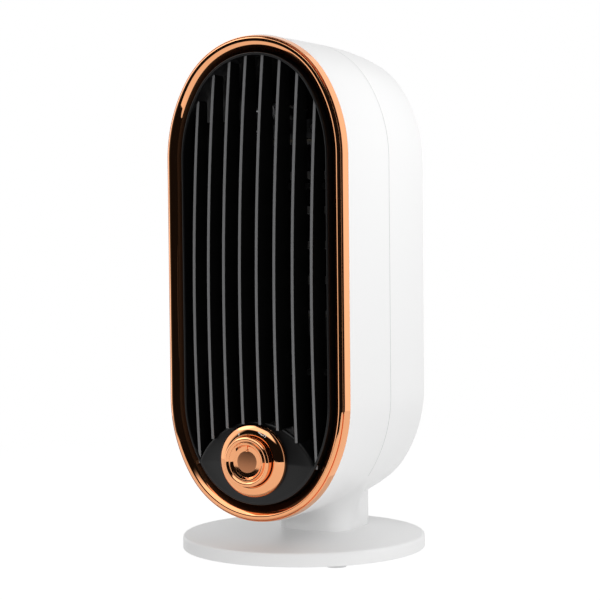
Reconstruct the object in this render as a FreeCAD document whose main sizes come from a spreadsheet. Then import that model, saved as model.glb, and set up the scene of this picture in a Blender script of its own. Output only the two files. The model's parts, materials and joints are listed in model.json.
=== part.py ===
import FreeCAD, Part

import math
import os
import re

import Sketcher

# Ceramic space heater on a round base. Millimetres, +Z up, front towards -Y, +X to the viewer's right.
# The origin is on the table, under the middle of the base.

# Every size that can be set by itself: alias, value, what it is.
SIZES = [
    # casing: two shells with one outline, straight sides and rounded ends
    ("casing_width", 98, "outside width of the casing"),
    ("casing_end_height", 60, "height of each rounded end"),
    ("casing_straight", 120, "height of the straight sides"),
    ("casing_lift", 19, "table to the lowest point of the casing"),
    ("casing_wall", 2.2, "wall of both shells"),
    ("front_edge", 46, "base axis to the front edge of the front shell"),
    ("front_shell_depth", 47, "front edge to the seam"),
    ("rear_shell_depth", 56, "seam to the rear face"),
    ("rear_draft", 3, "how much the rear shell draws in before its rounded edge"),
    ("rear_round", 8, "rounding of the rear edge"),
    ("seam_tongue", 2, "how far the front shell's tongue reaches past the seam"),
    ("seam_gap", 0.15, "gap round the tongue"),
    ("ledge_width", 3, "width of the ledge that the front panel rests on"),
    ("ledge_depth", 2, "depth of that ledge"),
    # base
    ("base_radius", 62, "radius of the base"),
    ("base_height", 9, "table to the top of the base"),
    ("base_wall", 2, "wall of the base cover"),
    ("base_edge_round", 2, "rounding of the top edge of the base"),
    ("base_plate_thickness", 2, "bottom plate"),
    ("base_plate_gap", 0.3, "gap round the bottom plate"),
    ("foot_radius", 5, "radius of a foot"),
    ("foot_height", 2.2, "how far a foot stands out"),
    ("foot_recess", 1, "how deep a foot is let in"),
    ("foot_circle", 50, "radius of the circle of feet"),
    ("foot_gap", 0.1, "gap round a foot in its recess"),
    ("weight_inner_radius", 40, "inner radius of the steel weight"),
    ("weight_outer_radius", 57, "outer radius of the steel weight"),
    ("weight_thickness", 2.6, "thickness of the steel weight"),
    ("base_boss_circle", 28, "radius of the circle of base screws"),
    ("boss_radius", 3.6, "radius of a screw boss in the base"),
    # neck
    ("neck_half_width", 20, "half width of the neck"),
    ("neck_front_centre", 16, "centre of the neck's front half-round"),
    ("neck_rear_centre", 27, "centre of the neck's rear half-round"),
    ("neck_top", 45, "top of the neck inside the casing"),
    ("neck_gap", 0.3, "gap between the neck and the rear shell"),
    ("neck_post_height", 14, "height of the screw posts in the neck"),
    ("neck_post_radius", 4, "radius of those posts"),
    ("neck_post_inset", 5.8, "neck side to the centre of a post"),
    ("neck_post_front", 14, "place of the front pair of posts"),
    ("neck_post_rear", 31, "place of the rear pair of posts"),
    # screws
    ("screw_radius", 1.5, "radius of every screw"),
    ("screw_head_radius", 2.8, "radius of a screw head"),
    ("screw_head_height", 1.6, "height of a screw head"),
    ("screw_gap", 0.2, "gap round a screw or its head"),
    ("base_screw_head", 0.9, "height of the head of a base screw"),
    ("base_screw_grip", 4, "length of a base screw past its head"),
    ("neck_screw_grip", 11, "length of a neck screw past its head"),
    ("shell_screw_grip", 22, "length of a shell screw past its head"),
    ("shell_screw_seat", 14, "seam to the seat of a shell screw's head"),
    ("post_radius", 4.8, "radius of the shell posts"),
    ("post_rib", 2, "thickness of the rib from a post to the wall"),
    ("post_front_reach", 30, "how far the front posts reach forward of the seam"),
    ("upper_post_side", 27, "centre plane to the upper posts"),
    ("lower_post_side", 29, "centre plane to the lower posts"),
    ("upper_post_rise", 87, "casing middle up to the upper posts"),
    ("lower_post_drop", 43, "casing middle down to the lower posts"),
    # bezel ring
    ("bezel_band", 5, "depth of the ring's side band"),
    ("bezel_reach", 6, "front edge to the crest of the ring"),
    ("bezel_band_inset", 0.8, "inset of the front of the side band"),
    ("bezel_crest_inset", 3.2, "inset of the crest"),
    ("bezel_mouth_inset", 4.2, "inset where the inner wall starts"),
    ("bezel_foot_inset", 8.5, "inset of the foot of the inner wall"),
    ("bezel_round_across", 0.35, "share of a slope's width at its bend"),
    ("bezel_round_up", 0.75, "share of the crest's rise at its bend"),
    ("bezel_mouth_round", 0.6, "how far the mouth widens towards the front"),
    ("bezel_wall_bend", 2.4, "front edge to the bend of the inner wall"),
    ("bezel_skirt", 4, "how far the ring reaches into the front shell"),
    ("bezel_gap", 0.3, "gap between the ring and its neighbours"),
    # front panel
    ("opening_inset", 10, "inset of the grille opening"),
    ("panel_rim_reach", 5, "front edge to the front of the panel's rim"),
    ("panel_flange", 2, "thickness of the flange behind the ring"),
    ("panel_gap", 0.4, "gap round the flange in the front shell"),
    ("arch_radius", 35, "radius of the arch over the control dome"),
    ("arch_drop", 16, "knob axis down to the centre of the arch"),
    ("arch_wall", 2, "wall of the arch"),
    ("dome_reach", 8, "front edge to the top of the control dome"),
    ("dome_radius", 205, "radius of the control dome"),
    ("dome_wall", 2.5, "wall of the control dome"),
    # grille
    ("blade_pitch", 9.2, "distance between blades"),
    ("blade_thickness", 1.5, "thickness of a blade"),
    ("blade_gap", 0.15, "gap at the ends of the blades"),
    ("grille_reach", 11.8, "front edge to the crown of the blades"),
    ("crown_across", 128, "radius of the crown from side to side"),
    ("crown_upright", 830, "radius of the crown from top to bottom"),
    ("crown_drop", 12, "casing middle down to the crown's highest point"),
    ("crossbar_height", 3, "height of a bar behind the blades"),
    ("crossbar_depth", 2, "depth of a bar behind the blades"),
    ("crossbar_spacing", 90, "distance between the two bars"),
    # knob and rotary switch
    ("knob_rise", 33.3, "lowest point of the casing up to the knob axis"),
    ("knob_reach", 15.9, "front edge to the front of the knob"),
    ("collar_radius", 18, "outer radius of the fixed collar"),
    ("collar_neck_radius", 13, "radius of the front of the collar"),
    ("collar_reach", 11.5, "front edge to the front of the collar"),
    ("collar_wall", 1.2, "wall of the collar"),
    ("collar_lip", 0.5, "height of the collar's upright lip"),
    ("collar_rim", 0.6, "thickness of the front of the collar"),
    ("knob_gap", 0.3, "gap between the knob and the collar"),
    ("knob_radius", 12.2, "radius of the knob"),
    ("knob_ring_radius", 9.8, "inner radius of the knob's raised ring"),
    ("knob_face_radius", 7.5, "radius of the knob's recessed face"),
    ("knob_face_depth", 1.4, "how deep the face is let in"),
    ("knob_face_thickness", 0.8, "thickness of the face disc"),
    ("knob_rear_edge", 0.4, "chamfer at the knob's rear edge"),
    ("knob_edge", 1.2, "rounding of the knob's front edges"),
    ("knob_groove", 0.4, "half width of the groove in the knob's front"),
    ("knob_socket_depth", 1.4, "depth of the knob's socket on the shaft"),
    ("pointer_radius", 0.8, "radius of the pointer's round end"),
    ("pointer_length", 2.6, "length of the pointer"),
    ("pointer_width", 0.96, "width of the pointer's bar"),
    ("pointer_lift", 0.5, "thickness of the pointer"),
    ("pointer_gap", 0.15, "gap between the pointer and the edge of the face"),
    ("mark_across", 0.75, "share of the flare's width at the setting marks"),
    ("mark_size", 1, "width of a setting mark"),
    ("mark_lift", 0.25, "thickness of a setting mark"),
    ("switch_shaft_radius", 3, "radius of the switch shaft"),
    ("switch_bush_radius", 4.5, "radius of the switch's threaded bush"),
    ("shaft_gap", 0.05, "radial gap of a turning shaft"),
    ("nut_radius", 6.6, "half width across the corners of the switch nut"),
    ("nut_thickness", 2, "thickness of the switch nut"),
    ("switch_width", 24, "side of the switch body"),
    ("switch_depth", 16, "depth of the switch body"),
    ("switch_reach", 3.5, "how far the switch stands back from the dome's inside"),
    ("terminal_width", 6.3, "width of a blade terminal"),
    ("terminal_thickness", 0.8, "thickness of a blade terminal"),
    ("terminal_length", 7, "length of a blade terminal"),
    # tip-over switch
    ("tip_place", 14, "base axis back to the tip-over switch"),
    ("tip_width", 12, "width of the tip-over switch"),
    ("tip_length", 18, "length of the tip-over switch"),
    ("tip_height", 20, "height of the tip-over switch"),
    ("tip_floor", 1.6, "floor of the tip-over switch's housing"),
    ("tip_roof", 3, "roof of that housing"),
    ("tip_cavity_radius", 4.2, "radius of the cavity in that housing"),
    ("plunger_radius", 2.3, "radius of the plunger"),
    ("plunger_gap", 0.3, "gap round the plunger"),
    ("plunger_travel", 3, "how far the plunger drops when the heater is lifted"),
    ("plunger_flange_radius", 3.6, "radius of the plunger's flange"),
    ("plunger_flange_height", 2, "height of that flange"),
    ("plunger_stem_radius", 1.3, "radius of the stem inside the spring"),
    ("plunger_stem_height", 4, "height of that stem"),
    ("spring_radius", 2.2, "mean radius of the spring"),
    ("spring_wire", 0.3, "radius of the spring's wire"),
    ("spring_pitch", 1.6, "pitch of the spring"),
    ("spring_end_gap", 0.1, "gap at each end of the spring"),
    # heater block
    ("heater_rise", 26, "casing middle up to the middle of the heater"),
    ("heater_front", 37, "base axis forward to the heater frame's front"),
    ("heater_frame_depth", 18, "depth of the heater frame"),
    ("heater_frame_wall", 2.5, "wall of the heater frame"),
    ("heater_ear", 6, "height of the ears on the heater frame"),
    ("heater_ear_width", 12, "width of an ear"),
    ("heater_ear_side", 20, "centre plane to an ear's screw"),
    ("element_width", 64, "width of the ceramic heating block"),
    ("element_depth", 14, "depth of the ceramic heating block"),
    ("ceramic_height", 3, "height of a ceramic bar"),
    ("fin_bank_height", 14, "height of a bank of fins"),
    ("fin_thickness", 0.5, "thickness of a fin"),
    ("fin_pitch", 3.175, "distance between fins"),
    ("electrode_thickness", 1, "thickness of an end electrode"),
    ("mica_thickness", 1.2, "thickness of a mica sheet"),
    ("heater_gap", 0.3, "gap round the block in its frame"),
    ("cutout_radius", 7.5, "radius of the bimetal cut-out"),
    ("cutout_height", 5, "height of the bimetal cut-out"),
    ("fuse_radius", 2, "radius of the thermal fuse"),
    ("fuse_length", 11, "length of the thermal fuse"),
    ("fuse_lead_radius", 0.6, "radius of the fuse's leads"),
    # fan
    ("duct_wall", 2.2, "wall of the fan duct"),
    ("duct_plate_half_width", 44, "half width of the duct's plate"),
    ("duct_plate_height", 108, "height of the duct's plate"),
    ("duct_depth", 29, "depth of the duct's tube"),
    ("fan_tip_gap", 1.2, "gap between the blade tips and the duct"),
    ("fan_reach", 37, "reach of a fan blade from the axis"),
    ("fan_chord", 20, "chord of a fan blade"),
    ("fan_pitch_angle", 38, "pitch of a fan blade, degrees"),
    ("fan_blade_thickness", 1.6, "thickness of a fan blade"),
    ("fan_hub_radius", 12, "radius of the fan hub"),
    ("fan_hub_depth", 14, "depth of the fan hub"),
    ("fan_hub_wall", 2, "wall of the fan hub"),
    ("fan_boss_radius", 4, "radius of the boss on the shaft"),
    ("fan_place", -1, "base axis to the middle of the fan"),
    ("fan_shaft_radius", 1.5, "radius of the motor shaft"),
    ("clip_radius", 3.4, "radius of the shaft clip"),
    ("clip_thickness", 0.8, "thickness of the shaft clip"),
    ("shaft_front_end", 11, "fan's middle to the front end of the shaft"),
    # motor
    ("motor_radius", 17, "outer radius of the motor can"),
    ("motor_depth", 24, "depth of the motor can"),
    ("motor_wall", 1.5, "wall of the motor can"),
    ("motor_cap_thickness", 2, "thickness of the motor's end cap"),
    ("bush_radius", 4, "outer radius of a motor bush"),
    ("bush_length", 4, "length of a motor bush"),
    ("magnet_thickness", 3, "thickness of a magnet"),
    ("rotor_gap", 0.6, "gap between the rotor and the magnets"),
    ("rotor_length", 12, "length of the rotor"),
    ("bracket_radius", 20, "radius of the motor bracket's plate"),
    ("bracket_thickness", 2.2, "thickness of the motor bracket"),
    ("bracket_arm_width", 8, "width of an arm of the bracket"),
    ("motor_screw_side", 10, "motor axis to a motor screw"),
    ("motor_screw_grip", 3.5, "length of a motor screw past its head"),
    # rear fittings
    ("slot_width", 44, "width of an inlet slot"),
    ("slot_height", 3, "height of an inlet slot"),
    ("slot_pitch", 6.6, "distance between inlet slots"),
    ("filter_width", 60, "width of the dust filter"),
    ("filter_height", 104, "height of the dust filter"),
    ("filter_thickness", 1.2, "thickness of the dust filter"),
    ("filter_bar", 1.2, "width of the filter's bars"),
    ("filter_rim", 3, "width of the filter's rim"),
    ("gland_height", 72, "table to the axis of the cable gland"),
    ("gland_bore_radius", 3.4, "radius of the gland's bore"),
    ("gland_sleeve_radius", 5, "radius of the gland's sleeve"),
    ("gland_flange_radius", 7.5, "radius of the gland's flange"),
    ("gland_flange_thickness", 1.6, "thickness of the gland's flange"),
    ("gland_reach", 4.5, "rear face to the tip of the gland"),
    ("gland_inner_reach", 7, "rear face to the inner end of the gland"),
    ("gland_gap", 0.1, "gap round the gland in the rear shell"),
    ("gland_nut_radius", 8, "half width across the corners of the gland nut"),
    ("block_width", 20, "width of the terminal block"),
    ("block_height", 12, "height of the terminal block"),
    ("block_depth", 10, "depth of the terminal block"),
    ("block_side", 12, "centre plane to the terminal block"),
    ("cut_margin", 1, "how far a cutting shape runs past what it cuts"),
]

BLADES = 8
CERAMIC_BARS = 4
FINS_PER_BANK = 20
FAN_BLADES = 7
INLET_SLOTS = 15
FILTER_COLUMNS = 5
FILTER_ROWS = 9
MARK_ANGLES = (-26, 28)
ROUND_STEPS = 4

DOC = FreeCAD.newDocument("ceramic_space_heater")
SHEET = DOC.addObject("Spreadsheet::Sheet", "Sizes")
for row, (alias, value, words) in enumerate(SIZES, start=1):
    SHEET.set(f"A{row}", words)
    SHEET.set(f"B{row}", str(value))
    SHEET.setAlias(f"B{row}", alias)
DOC.recompute()
ALIASES = {alias for alias, value, words in SIZES}

# Places that several pieces share, as expressions of the sizes.
MIDDLE = "(casing_lift + casing_end_height + casing_straight / 2)"
FRONT = "(0 - front_edge)"
# Each end of the outline is close to a half-ellipse: two shoulder arcs with its side radius and a
# crown arc that is tangent to both.
SHOULDER_RADIUS = "(casing_end_height ^ 2 / (casing_width / 2))"
CROWN_RADIUS = (f"(({SHOULDER_RADIUS} ^ 2 - ({SHOULDER_RADIUS} - casing_width / 2) ^ 2"
                f" - casing_end_height ^ 2) / (2 * ({SHOULDER_RADIUS} - casing_end_height)))")
SEAM = "(front_shell_depth - front_edge)"
REAR = "(front_shell_depth + rear_shell_depth - front_edge)"
KNOB_Z = "(casing_lift + knob_rise)"
FLANGE_FRONT = f"({FRONT} + bezel_skirt + bezel_gap)"
FLANGE_BACK = f"({FLANGE_FRONT} + panel_flange)"
DOME_TOP = f"({FRONT} - dome_reach)"
HEATER_Z = f"({MIDDLE} + heater_rise)"
HEATER_FRONT = "(0 - heater_front)"
HEATER_BACK = f"({HEATER_FRONT} + heater_frame_depth)"
BLOCK_HEIGHT = (f"({CERAMIC_BARS} * ceramic_height + {CERAMIC_BARS + 1} * fin_bank_height"
                " + 2 * electrode_thickness)")
FRAME_INNER_HEIGHT = f"({BLOCK_HEIGHT} + 2 * mica_thickness + 2 * heater_gap)"
FRAME_HEIGHT = f"({FRAME_INNER_HEIGHT} + 2 * heater_frame_wall)"
FRAME_WIDTH = "(element_width + 2 * heater_gap + 2 * heater_frame_wall)"
ELEMENT_FRONT = f"({HEATER_FRONT} + (heater_frame_depth - element_depth) / 2)"
FAN_TIP = "(sqrt(fan_reach ^ 2 + (fan_chord / 2) ^ 2 * cos(fan_pitch_angle * 1 deg) ^ 2))"
DUCT_RADIUS = f"({FAN_TIP} + fan_tip_gap)"
DUCT_BACK = f"({HEATER_BACK} + duct_depth)"
MOTOR_FRONT = f"({DUCT_BACK} + bracket_thickness)"
MOTOR_BACK = f"({MOTOR_FRONT} + motor_depth)"
CAVITY_FLOOR = "(base_height + tip_floor)"
CAVITY_ROOF = "(base_height + tip_height - tip_roof)"
PLUNGER_SHOULDER = f"({CAVITY_FLOOR} + plunger_gap + plunger_travel)"
PLATE_TOP = "(foot_height + base_plate_thickness)"
REAR_INSIDE = f"({REAR} - casing_wall)"
SWITCH_FRONT = f"({DOME_TOP} + dome_wall + switch_reach)"
# The dome falls away from its top, so what stands on it at a radius sits lower by this much.
COLLAR_SEAT = "(dome_reach - dome_radius + sqrt(dome_radius ^ 2 - (collar_radius - collar_wall) ^ 2))"
DOME_BACK = f"({DOME_TOP} + dome_wall + dome_radius - sqrt(dome_radius ^ 2 - nut_radius ^ 2))"
COLLAR_RISE = f"(collar_reach - {COLLAR_SEAT})"
# The flare's corners between lip and neck, as shares of its width and of its rise.
FLARE_SHARES = ((0.45, 0.35), (0.12, 0.7))
# Corners of the collar's flare, as (radius, distance forward of the front edge).
COLLAR_FLARE = ([("collar_radius", f"{COLLAR_SEAT} + collar_lip")]
                + [(f"collar_neck_radius + (collar_radius - collar_neck_radius) * {across}",
                    f"{COLLAR_SEAT} + {COLLAR_RISE} * {up}") for across, up in FLARE_SHARES]
                + [("collar_neck_radius", "collar_reach")])

UPRIGHT = FreeCAD.Rotation()
BACKWARDS = FreeCAD.Rotation(FreeCAD.Vector(1, 0, 0), -90)
FORWARDS = FreeCAD.Rotation(FreeCAD.Vector(1, 0, 0), 90)
SIDEWAYS = FreeCAD.Rotation(FreeCAD.Vector(0, 1, 0), 90)

NODES = []


def sheet_expression(text):
    """The expression with each alias written as a cell of the sheet."""
    return re.sub(r"[a-z_]+", lambda word: f"Sizes.{word[0]}" if word[0] in ALIASES else word[0], str(text))


def tie(item, **properties):
    """Tie properties of an object to the sizes."""
    for name, expression in properties.items():
        item.setExpression(name, sheet_expression(expression))
    return item


def place(item, x, y, z, turn=UPRIGHT):
    """Put an object's own origin at (x, y, z), turned."""
    item.Placement = FreeCAD.Placement(FreeCAD.Vector(), turn)
    for axis, expression in zip("xyz", (x, y, z)):
        item.setExpression(f"Placement.Base.{axis}", sheet_expression(expression))
    return item


def node(name, item):
    """Name an object as one of the heater's pieces."""
    item.Label = name
    NODES.append(item)
    return item


def box(name, x, y, z, length, width, height):
    """A block from its lowest corner."""
    block = DOC.addObject("Part::Box", name)
    tie(block, Length=length, Width=width, Height=height)
    return place(block, x, y, z)


def centred_box(name, x, y, z, length, width, height):
    """A block centred on x and z, with its front at y."""
    return box(name, f"{x} - ({length}) / 2", y, f"{z} - ({height}) / 2", length, width, height)


def rod(name, x, y, z, radius, length, turn=UPRIGHT):
    """A cylinder that runs up, or back with BACKWARDS, from (x, y, z)."""
    cylinder = DOC.addObject("Part::Cylinder", name)
    tie(cylinder, Radius=radius, Height=length)
    return place(cylinder, x, y, z, turn)


def hexagon(name, x, y, z, radius, length, turn):
    """A six-sided prism from (x, y, z)."""
    hexagon = DOC.addObject("Part::Prism", name)
    hexagon.Polygon = 6
    tie(hexagon, Circumradius=radius, Height=length)
    return place(hexagon, x, y, z, turn)


def fuse(name, pieces):
    """One solid of several that meet."""
    union = DOC.addObject("Part::MultiFuse", name)
    union.Shapes = pieces
    return union


def group(name, pieces):
    """Separate solids in one object."""
    compound = DOC.addObject("Part::Compound", name)
    compound.Links = pieces
    return compound


def cut(name, base, tools):
    """The base without the tools."""
    result = DOC.addObject("Part::Cut", name)
    result.Base = base
    result.Tool = tools[0] if len(tools) == 1 else fuse(f"{name}_tools", tools)
    return result


def common(name, first, second):
    """What two solids share."""
    result = DOC.addObject("Part::Common", name)
    result.Base = first
    result.Tool = second
    return result


def tube(name, x, y, z, outer, inner, length, turn=UPRIGHT):
    """A ring with a bore that runs right through."""
    solid = rod(f"{name}_outside", x, y, z, outer, length, turn)
    bore = rod(f"{name}_bore", x, y, z, inner, length, turn)
    return cut(name, solid, [bore])


def outline(name, inset, y):
    """The casing's outline at depth y, drawn in by inset: straight sides, and ends of three arcs."""
    sketch = DOC.addObject("Sketcher::SketchObject", name)
    half_width, half_straight, end = 40, 60, 50
    shoulder = 65
    shoulder_x = half_width - shoulder
    crown = (shoulder ** 2 - shoulder_x ** 2 - end ** 2) / (2 * (shoulder - end))
    crown_y = half_straight + end - crown
    meet = math.atan2(end - crown, -shoulder_x)
    line, arc = straight_edge, arc_edge
    edges = [line(half_width, -half_straight, half_width, half_straight),
             arc(shoulder_x, half_straight, shoulder, 0, meet),
             arc(0, crown_y, crown, meet, math.pi - meet),
             arc(-shoulder_x, half_straight, shoulder, math.pi - meet, math.pi),
             line(-half_width, half_straight, -half_width, -half_straight),
             arc(-shoulder_x, -half_straight, shoulder, math.pi, math.pi + meet),
             arc(0, -crown_y, crown, math.pi + meet, 2 * math.pi - meet),
             arc(shoulder_x, -half_straight, shoulder, 2 * math.pi - meet, 2 * math.pi)]
    for edge in edges:
        sketch.addGeometry(edge)
    right, upper, left, lower = 0, 2, 4, 6
    start, finish, middle = 1, 2, 3
    rules = [("Tangent", i, finish, (i + 1) % len(edges), start) for i in range(len(edges))]
    rules += [("PointOnObject", arc_, middle, -2) for arc_ in (upper, lower)]
    rules += [("Equal", 1, i) for i in (3, 5, 7)]
    rules += [("Equal", upper, lower), ("Symmetric", right, start, right, finish, -1),
              ("Symmetric", right, finish, left, start, -2)]
    for rule in rules:
        sketch.addConstraint(Sketcher.Constraint(*rule))
    measured = [(("DistanceX", left, start, right, finish), 2 * half_width, f"casing_width - 2 * ({inset})"),
                (("DistanceY", right, start, right, finish), 2 * half_straight, "casing_straight"),
                (("Radius", 1), shoulder, f"{SHOULDER_RADIUS} - ({inset})"),
                (("Radius", upper), crown, f"{CROWN_RADIUS} - ({inset})")]
    for what, start_value, expression in measured:
        index = sketch.addConstraint(Sketcher.Constraint(*what, start_value))
        sketch.setExpression(f"Constraints[{index}]", sheet_expression(expression))
    return place(sketch, "0", y, MIDDLE, FORWARDS)


def straight_edge(x1, y1, x2, y2):
    """A line of a sketch."""
    return Part.LineSegment(FreeCAD.Vector(x1, y1, 0), FreeCAD.Vector(x2, y2, 0))


def arc_edge(x, y, radius, start, stop):
    """An arc of a sketch, anticlockwise."""
    circle = Part.Circle(FreeCAD.Vector(x, y, 0), FreeCAD.Vector(0, 0, 1), radius)
    return Part.ArcOfCircle(circle, start, stop)


def prism(name, inset, y, depth):
    """The casing's outline drawn in by inset, carried back from y by depth."""
    solid = DOC.addObject("Part::Extrusion", name)
    solid.Base = outline(f"{name}_outline", inset, y)
    solid.DirMode = "Custom"
    solid.Dir = FreeCAD.Vector(0, 1, 0)
    solid.Solid = True
    return tie(solid, LengthFwd=depth)


def loft(name, sections):
    """A solid through outlines, each an inset and a depth."""
    solid = DOC.addObject("Part::Loft", name)
    solid.Sections = [outline(f"{name}_section_{i}", inset, y) for i, (inset, y) in enumerate(sections)]
    solid.Solid = True
    solid.Ruled = True
    return solid


def origin_feature(body, role):
    """A plane or axis of a body's own origin."""
    return next(item for item in body.Origin.OriginFeatures if item.Role == role)


def polygon(body, name, role, points):
    """A closed sketch on a plane of the body, each corner tied to its two expressions."""
    sketch = body.newObject("Sketcher::SketchObject", name)
    sketch.AttachmentSupport = [(origin_feature(body, role), "")]
    sketch.MapMode = "FlatFace"
    count = len(points)
    turn = 2 * math.pi / count
    corners = [FreeCAD.Vector(20 + 9 * math.cos(i * turn), 9 * math.sin(i * turn), 0) for i in range(count)]
    for i in range(count):
        sketch.addGeometry(Part.LineSegment(corners[i], corners[(i + 1) % count]))
    for i in range(count):
        sketch.addConstraint(Sketcher.Constraint("Coincident", i, 2, (i + 1) % count, 1))
    for i, (across, up) in enumerate(points):
        for kind, value, expression in (("DistanceX", corners[i].x, across), ("DistanceY", corners[i].y, up)):
            index = sketch.addConstraint(Sketcher.Constraint(kind, -1, 1, i, 1, value))
            sketch.setExpression(f"Constraints[{index}]", sheet_expression(expression))
    return sketch


def turned(name, points, x="0", y="0", z="0", turn=UPRIGHT):
    """A turned piece: a closed profile of (radius, height) corners revolved about its own axis."""
    body = DOC.addObject("PartDesign::Body", name)
    profile = polygon(body, f"{name}_profile", "XZ_Plane", points)
    revolution = body.newObject("PartDesign::Revolution", f"{name}_turned")
    revolution.Profile = profile
    revolution.ReferenceAxis = (profile, ["V_Axis"])
    revolution.Angle = 360
    body.Tip = revolution
    return place(body, x, y, z, turn)


def mirrored_pairs(sides_and_heights):
    """Each (side, height) on the right and on the left."""
    return [(f"{sign}{side}", height) for side, height in sides_and_heights for sign in ("", "0 - ")]


# ---------------------------------------------------------------- base
def polar(radius, degrees):
    """The x and y expressions of a point on a circle round the base axis."""
    return f"{radius} * cos({degrees} deg)", f"{radius} * sin({degrees} deg)"


DIAGONALS = (45, 135, 225, 315)
NECK_POSTS = mirrored_pairs([("(neck_half_width - neck_post_inset)", "neck_post_front"),
                             ("(neck_half_width - neck_post_inset)", "neck_post_rear")])


def make_base():
    """Base cover, weight, bottom plate, feet and their screws."""
    edge = [("base_radius", "foot_height")]
    for step in range(ROUND_STEPS + 1):
        angle = 90 * step / ROUND_STEPS
        edge.append((f"base_radius - base_edge_round * (1 - cos({angle} deg))",
                     f"base_height - base_edge_round * (1 - sin({angle} deg))"))
    inside = [("0", "base_height"), ("0", "base_height - base_wall"),
              ("base_radius - base_wall", "base_height - base_wall"),
              ("base_radius - base_wall", "foot_height")]
    disc = turned("cover_disc", edge + inside)
    bosses = [rod(f"cover_boss_{i}", *polar("base_boss_circle", angle), PLATE_TOP,
                  "boss_radius", f"base_height - base_wall / 2 - {PLATE_TOP}")
              for i, angle in enumerate(DIAGONALS)]
    pilots = [rod(f"cover_pilot_{i}", *polar("base_boss_circle", angle), PLATE_TOP,
                  "screw_radius", "base_screw_grip")
              for i, angle in enumerate(DIAGONALS)]
    neck_holes = [rod(f"cover_neck_hole_{i}", x, y, "base_height - base_wall - cut_margin",
                      "screw_radius + screw_gap", "base_wall + 2 * cut_margin")
                  for i, (x, y) in enumerate(NECK_POSTS)]
    plunger_hole = rod("cover_plunger_hole", "0", "tip_place", "base_height - base_wall - cut_margin",
                       "plunger_radius + plunger_gap", "base_wall + 2 * cut_margin")
    node("base_cover", cut("base_cover", fuse("cover_body", [disc] + bosses),
                           pilots + neck_holes + [plunger_hole]))
    node("base_weight", tube("base_weight", "0", "0", PLATE_TOP, "weight_outer_radius",
                             "weight_inner_radius", "weight_thickness"))

    plate = rod("plate_disc", "0", "0", "foot_height", "base_radius - base_wall - base_plate_gap",
                "base_plate_thickness")
    recesses = [rod(f"plate_recess_{i}", *polar("foot_circle", angle), "foot_height - cut_margin",
                    "foot_radius + foot_gap", "foot_recess + cut_margin")
                for i, angle in enumerate(DIAGONALS)]
    screw_holes = [rod(f"plate_screw_hole_{i}", *polar("base_boss_circle", angle), "foot_height - cut_margin",
                       "screw_radius + screw_gap", "base_plate_thickness + 2 * cut_margin")
                   for i, angle in enumerate(DIAGONALS)]
    head_holes = [rod(f"plate_head_hole_{i}", *polar("base_boss_circle", angle), "foot_height - cut_margin",
                      "screw_head_radius + screw_gap", "base_plate_thickness / 2 + cut_margin")
                  for i, angle in enumerate(DIAGONALS)]
    opening = rod("plate_plunger_hole", "0", "tip_place", "foot_height - cut_margin",
                  "plunger_radius + plunger_gap", "base_plate_thickness + 2 * cut_margin")
    node("base_plate", cut("base_plate", plate, recesses + screw_holes + head_holes + [opening]))
    node("rubber_feet", group("rubber_feet", [
        rod(f"foot_{i}", *polar("foot_circle", angle), "0", "foot_radius", "foot_height + foot_recess")
        for i, angle in enumerate(DIAGONALS)]))
    node("base_screws", group("base_screws", [
        screw(f"base_screw_{i}", *polar("base_boss_circle", angle),
              "foot_height + base_plate_thickness / 2", "base_screw_head",
              "base_plate_thickness / 2 + base_screw_grip", UPRIGHT)
        for i, angle in enumerate(DIAGONALS)]))
    node("neck_screws", group("neck_screws", [
        screw(f"neck_screw_{i}", x, y, "base_height - base_wall", "screw_head_height",
              "neck_screw_grip", UPRIGHT)
        for i, (x, y) in enumerate(NECK_POSTS)]))


def screw(name, x, y, z, head_height, grip, turn):
    """A pan-head screw: its head ends at (x, y, z), and its shank runs on along the turn by grip."""
    back = turn.multVec(FreeCAD.Vector(0, 0, -1))
    head_place = [f"{at} + ({head_height}) * {round(way)}" for at, way in zip((x, y, z), back)]
    head = rod(f"{name}_head", *head_place, "screw_head_radius", head_height, turn)
    shank = rod(f"{name}_shank", x, y, z, "screw_radius", grip, turn)
    return fuse(name, [head, shank])


# ---------------------------------------------------------------- casing
def neck_column(name, grow, bottom, top):
    """The neck's plan, two half-rounds joined by a block, grown by a gap."""
    radius = f"neck_half_width + ({grow})"
    height = f"({top}) - ({bottom})"
    ends = [rod(f"{name}_{side}", "0", f"neck_{side}_centre", bottom, radius, height)
            for side in ("front", "rear")]
    middle = box(f"{name}_middle", f"0 - ({radius})", "neck_front_centre", bottom, f"2 * ({radius})",
                 "neck_rear_centre - neck_front_centre", height)
    return fuse(name, ends + [middle])


def shell_posts():
    """Side and height of the four posts that join the shells."""
    return mirrored_pairs([("upper_post_side", f"({MIDDLE} + upper_post_rise)"),
                           ("lower_post_side", f"({MIDDLE} - lower_post_drop)")])


def posts_with_ribs(name, start, length):
    """Four posts with a rib from each to the side wall."""
    pieces = []
    for i, (x, z) in enumerate(shell_posts()):
        pieces.append(rod(f"{name}_post_{i}", x, start, z, "post_radius", length, BACKWARDS))
        low = x if not x.startswith("0") else "0 - casing_width / 2"
        pieces.append(box(f"{name}_rib_{i}", low, start, f"{z} - post_rib / 2",
                          f"casing_width / 2 - {x.replace('0 - ', '')}", length, "post_rib"))
    return fuse(name, pieces)


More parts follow.
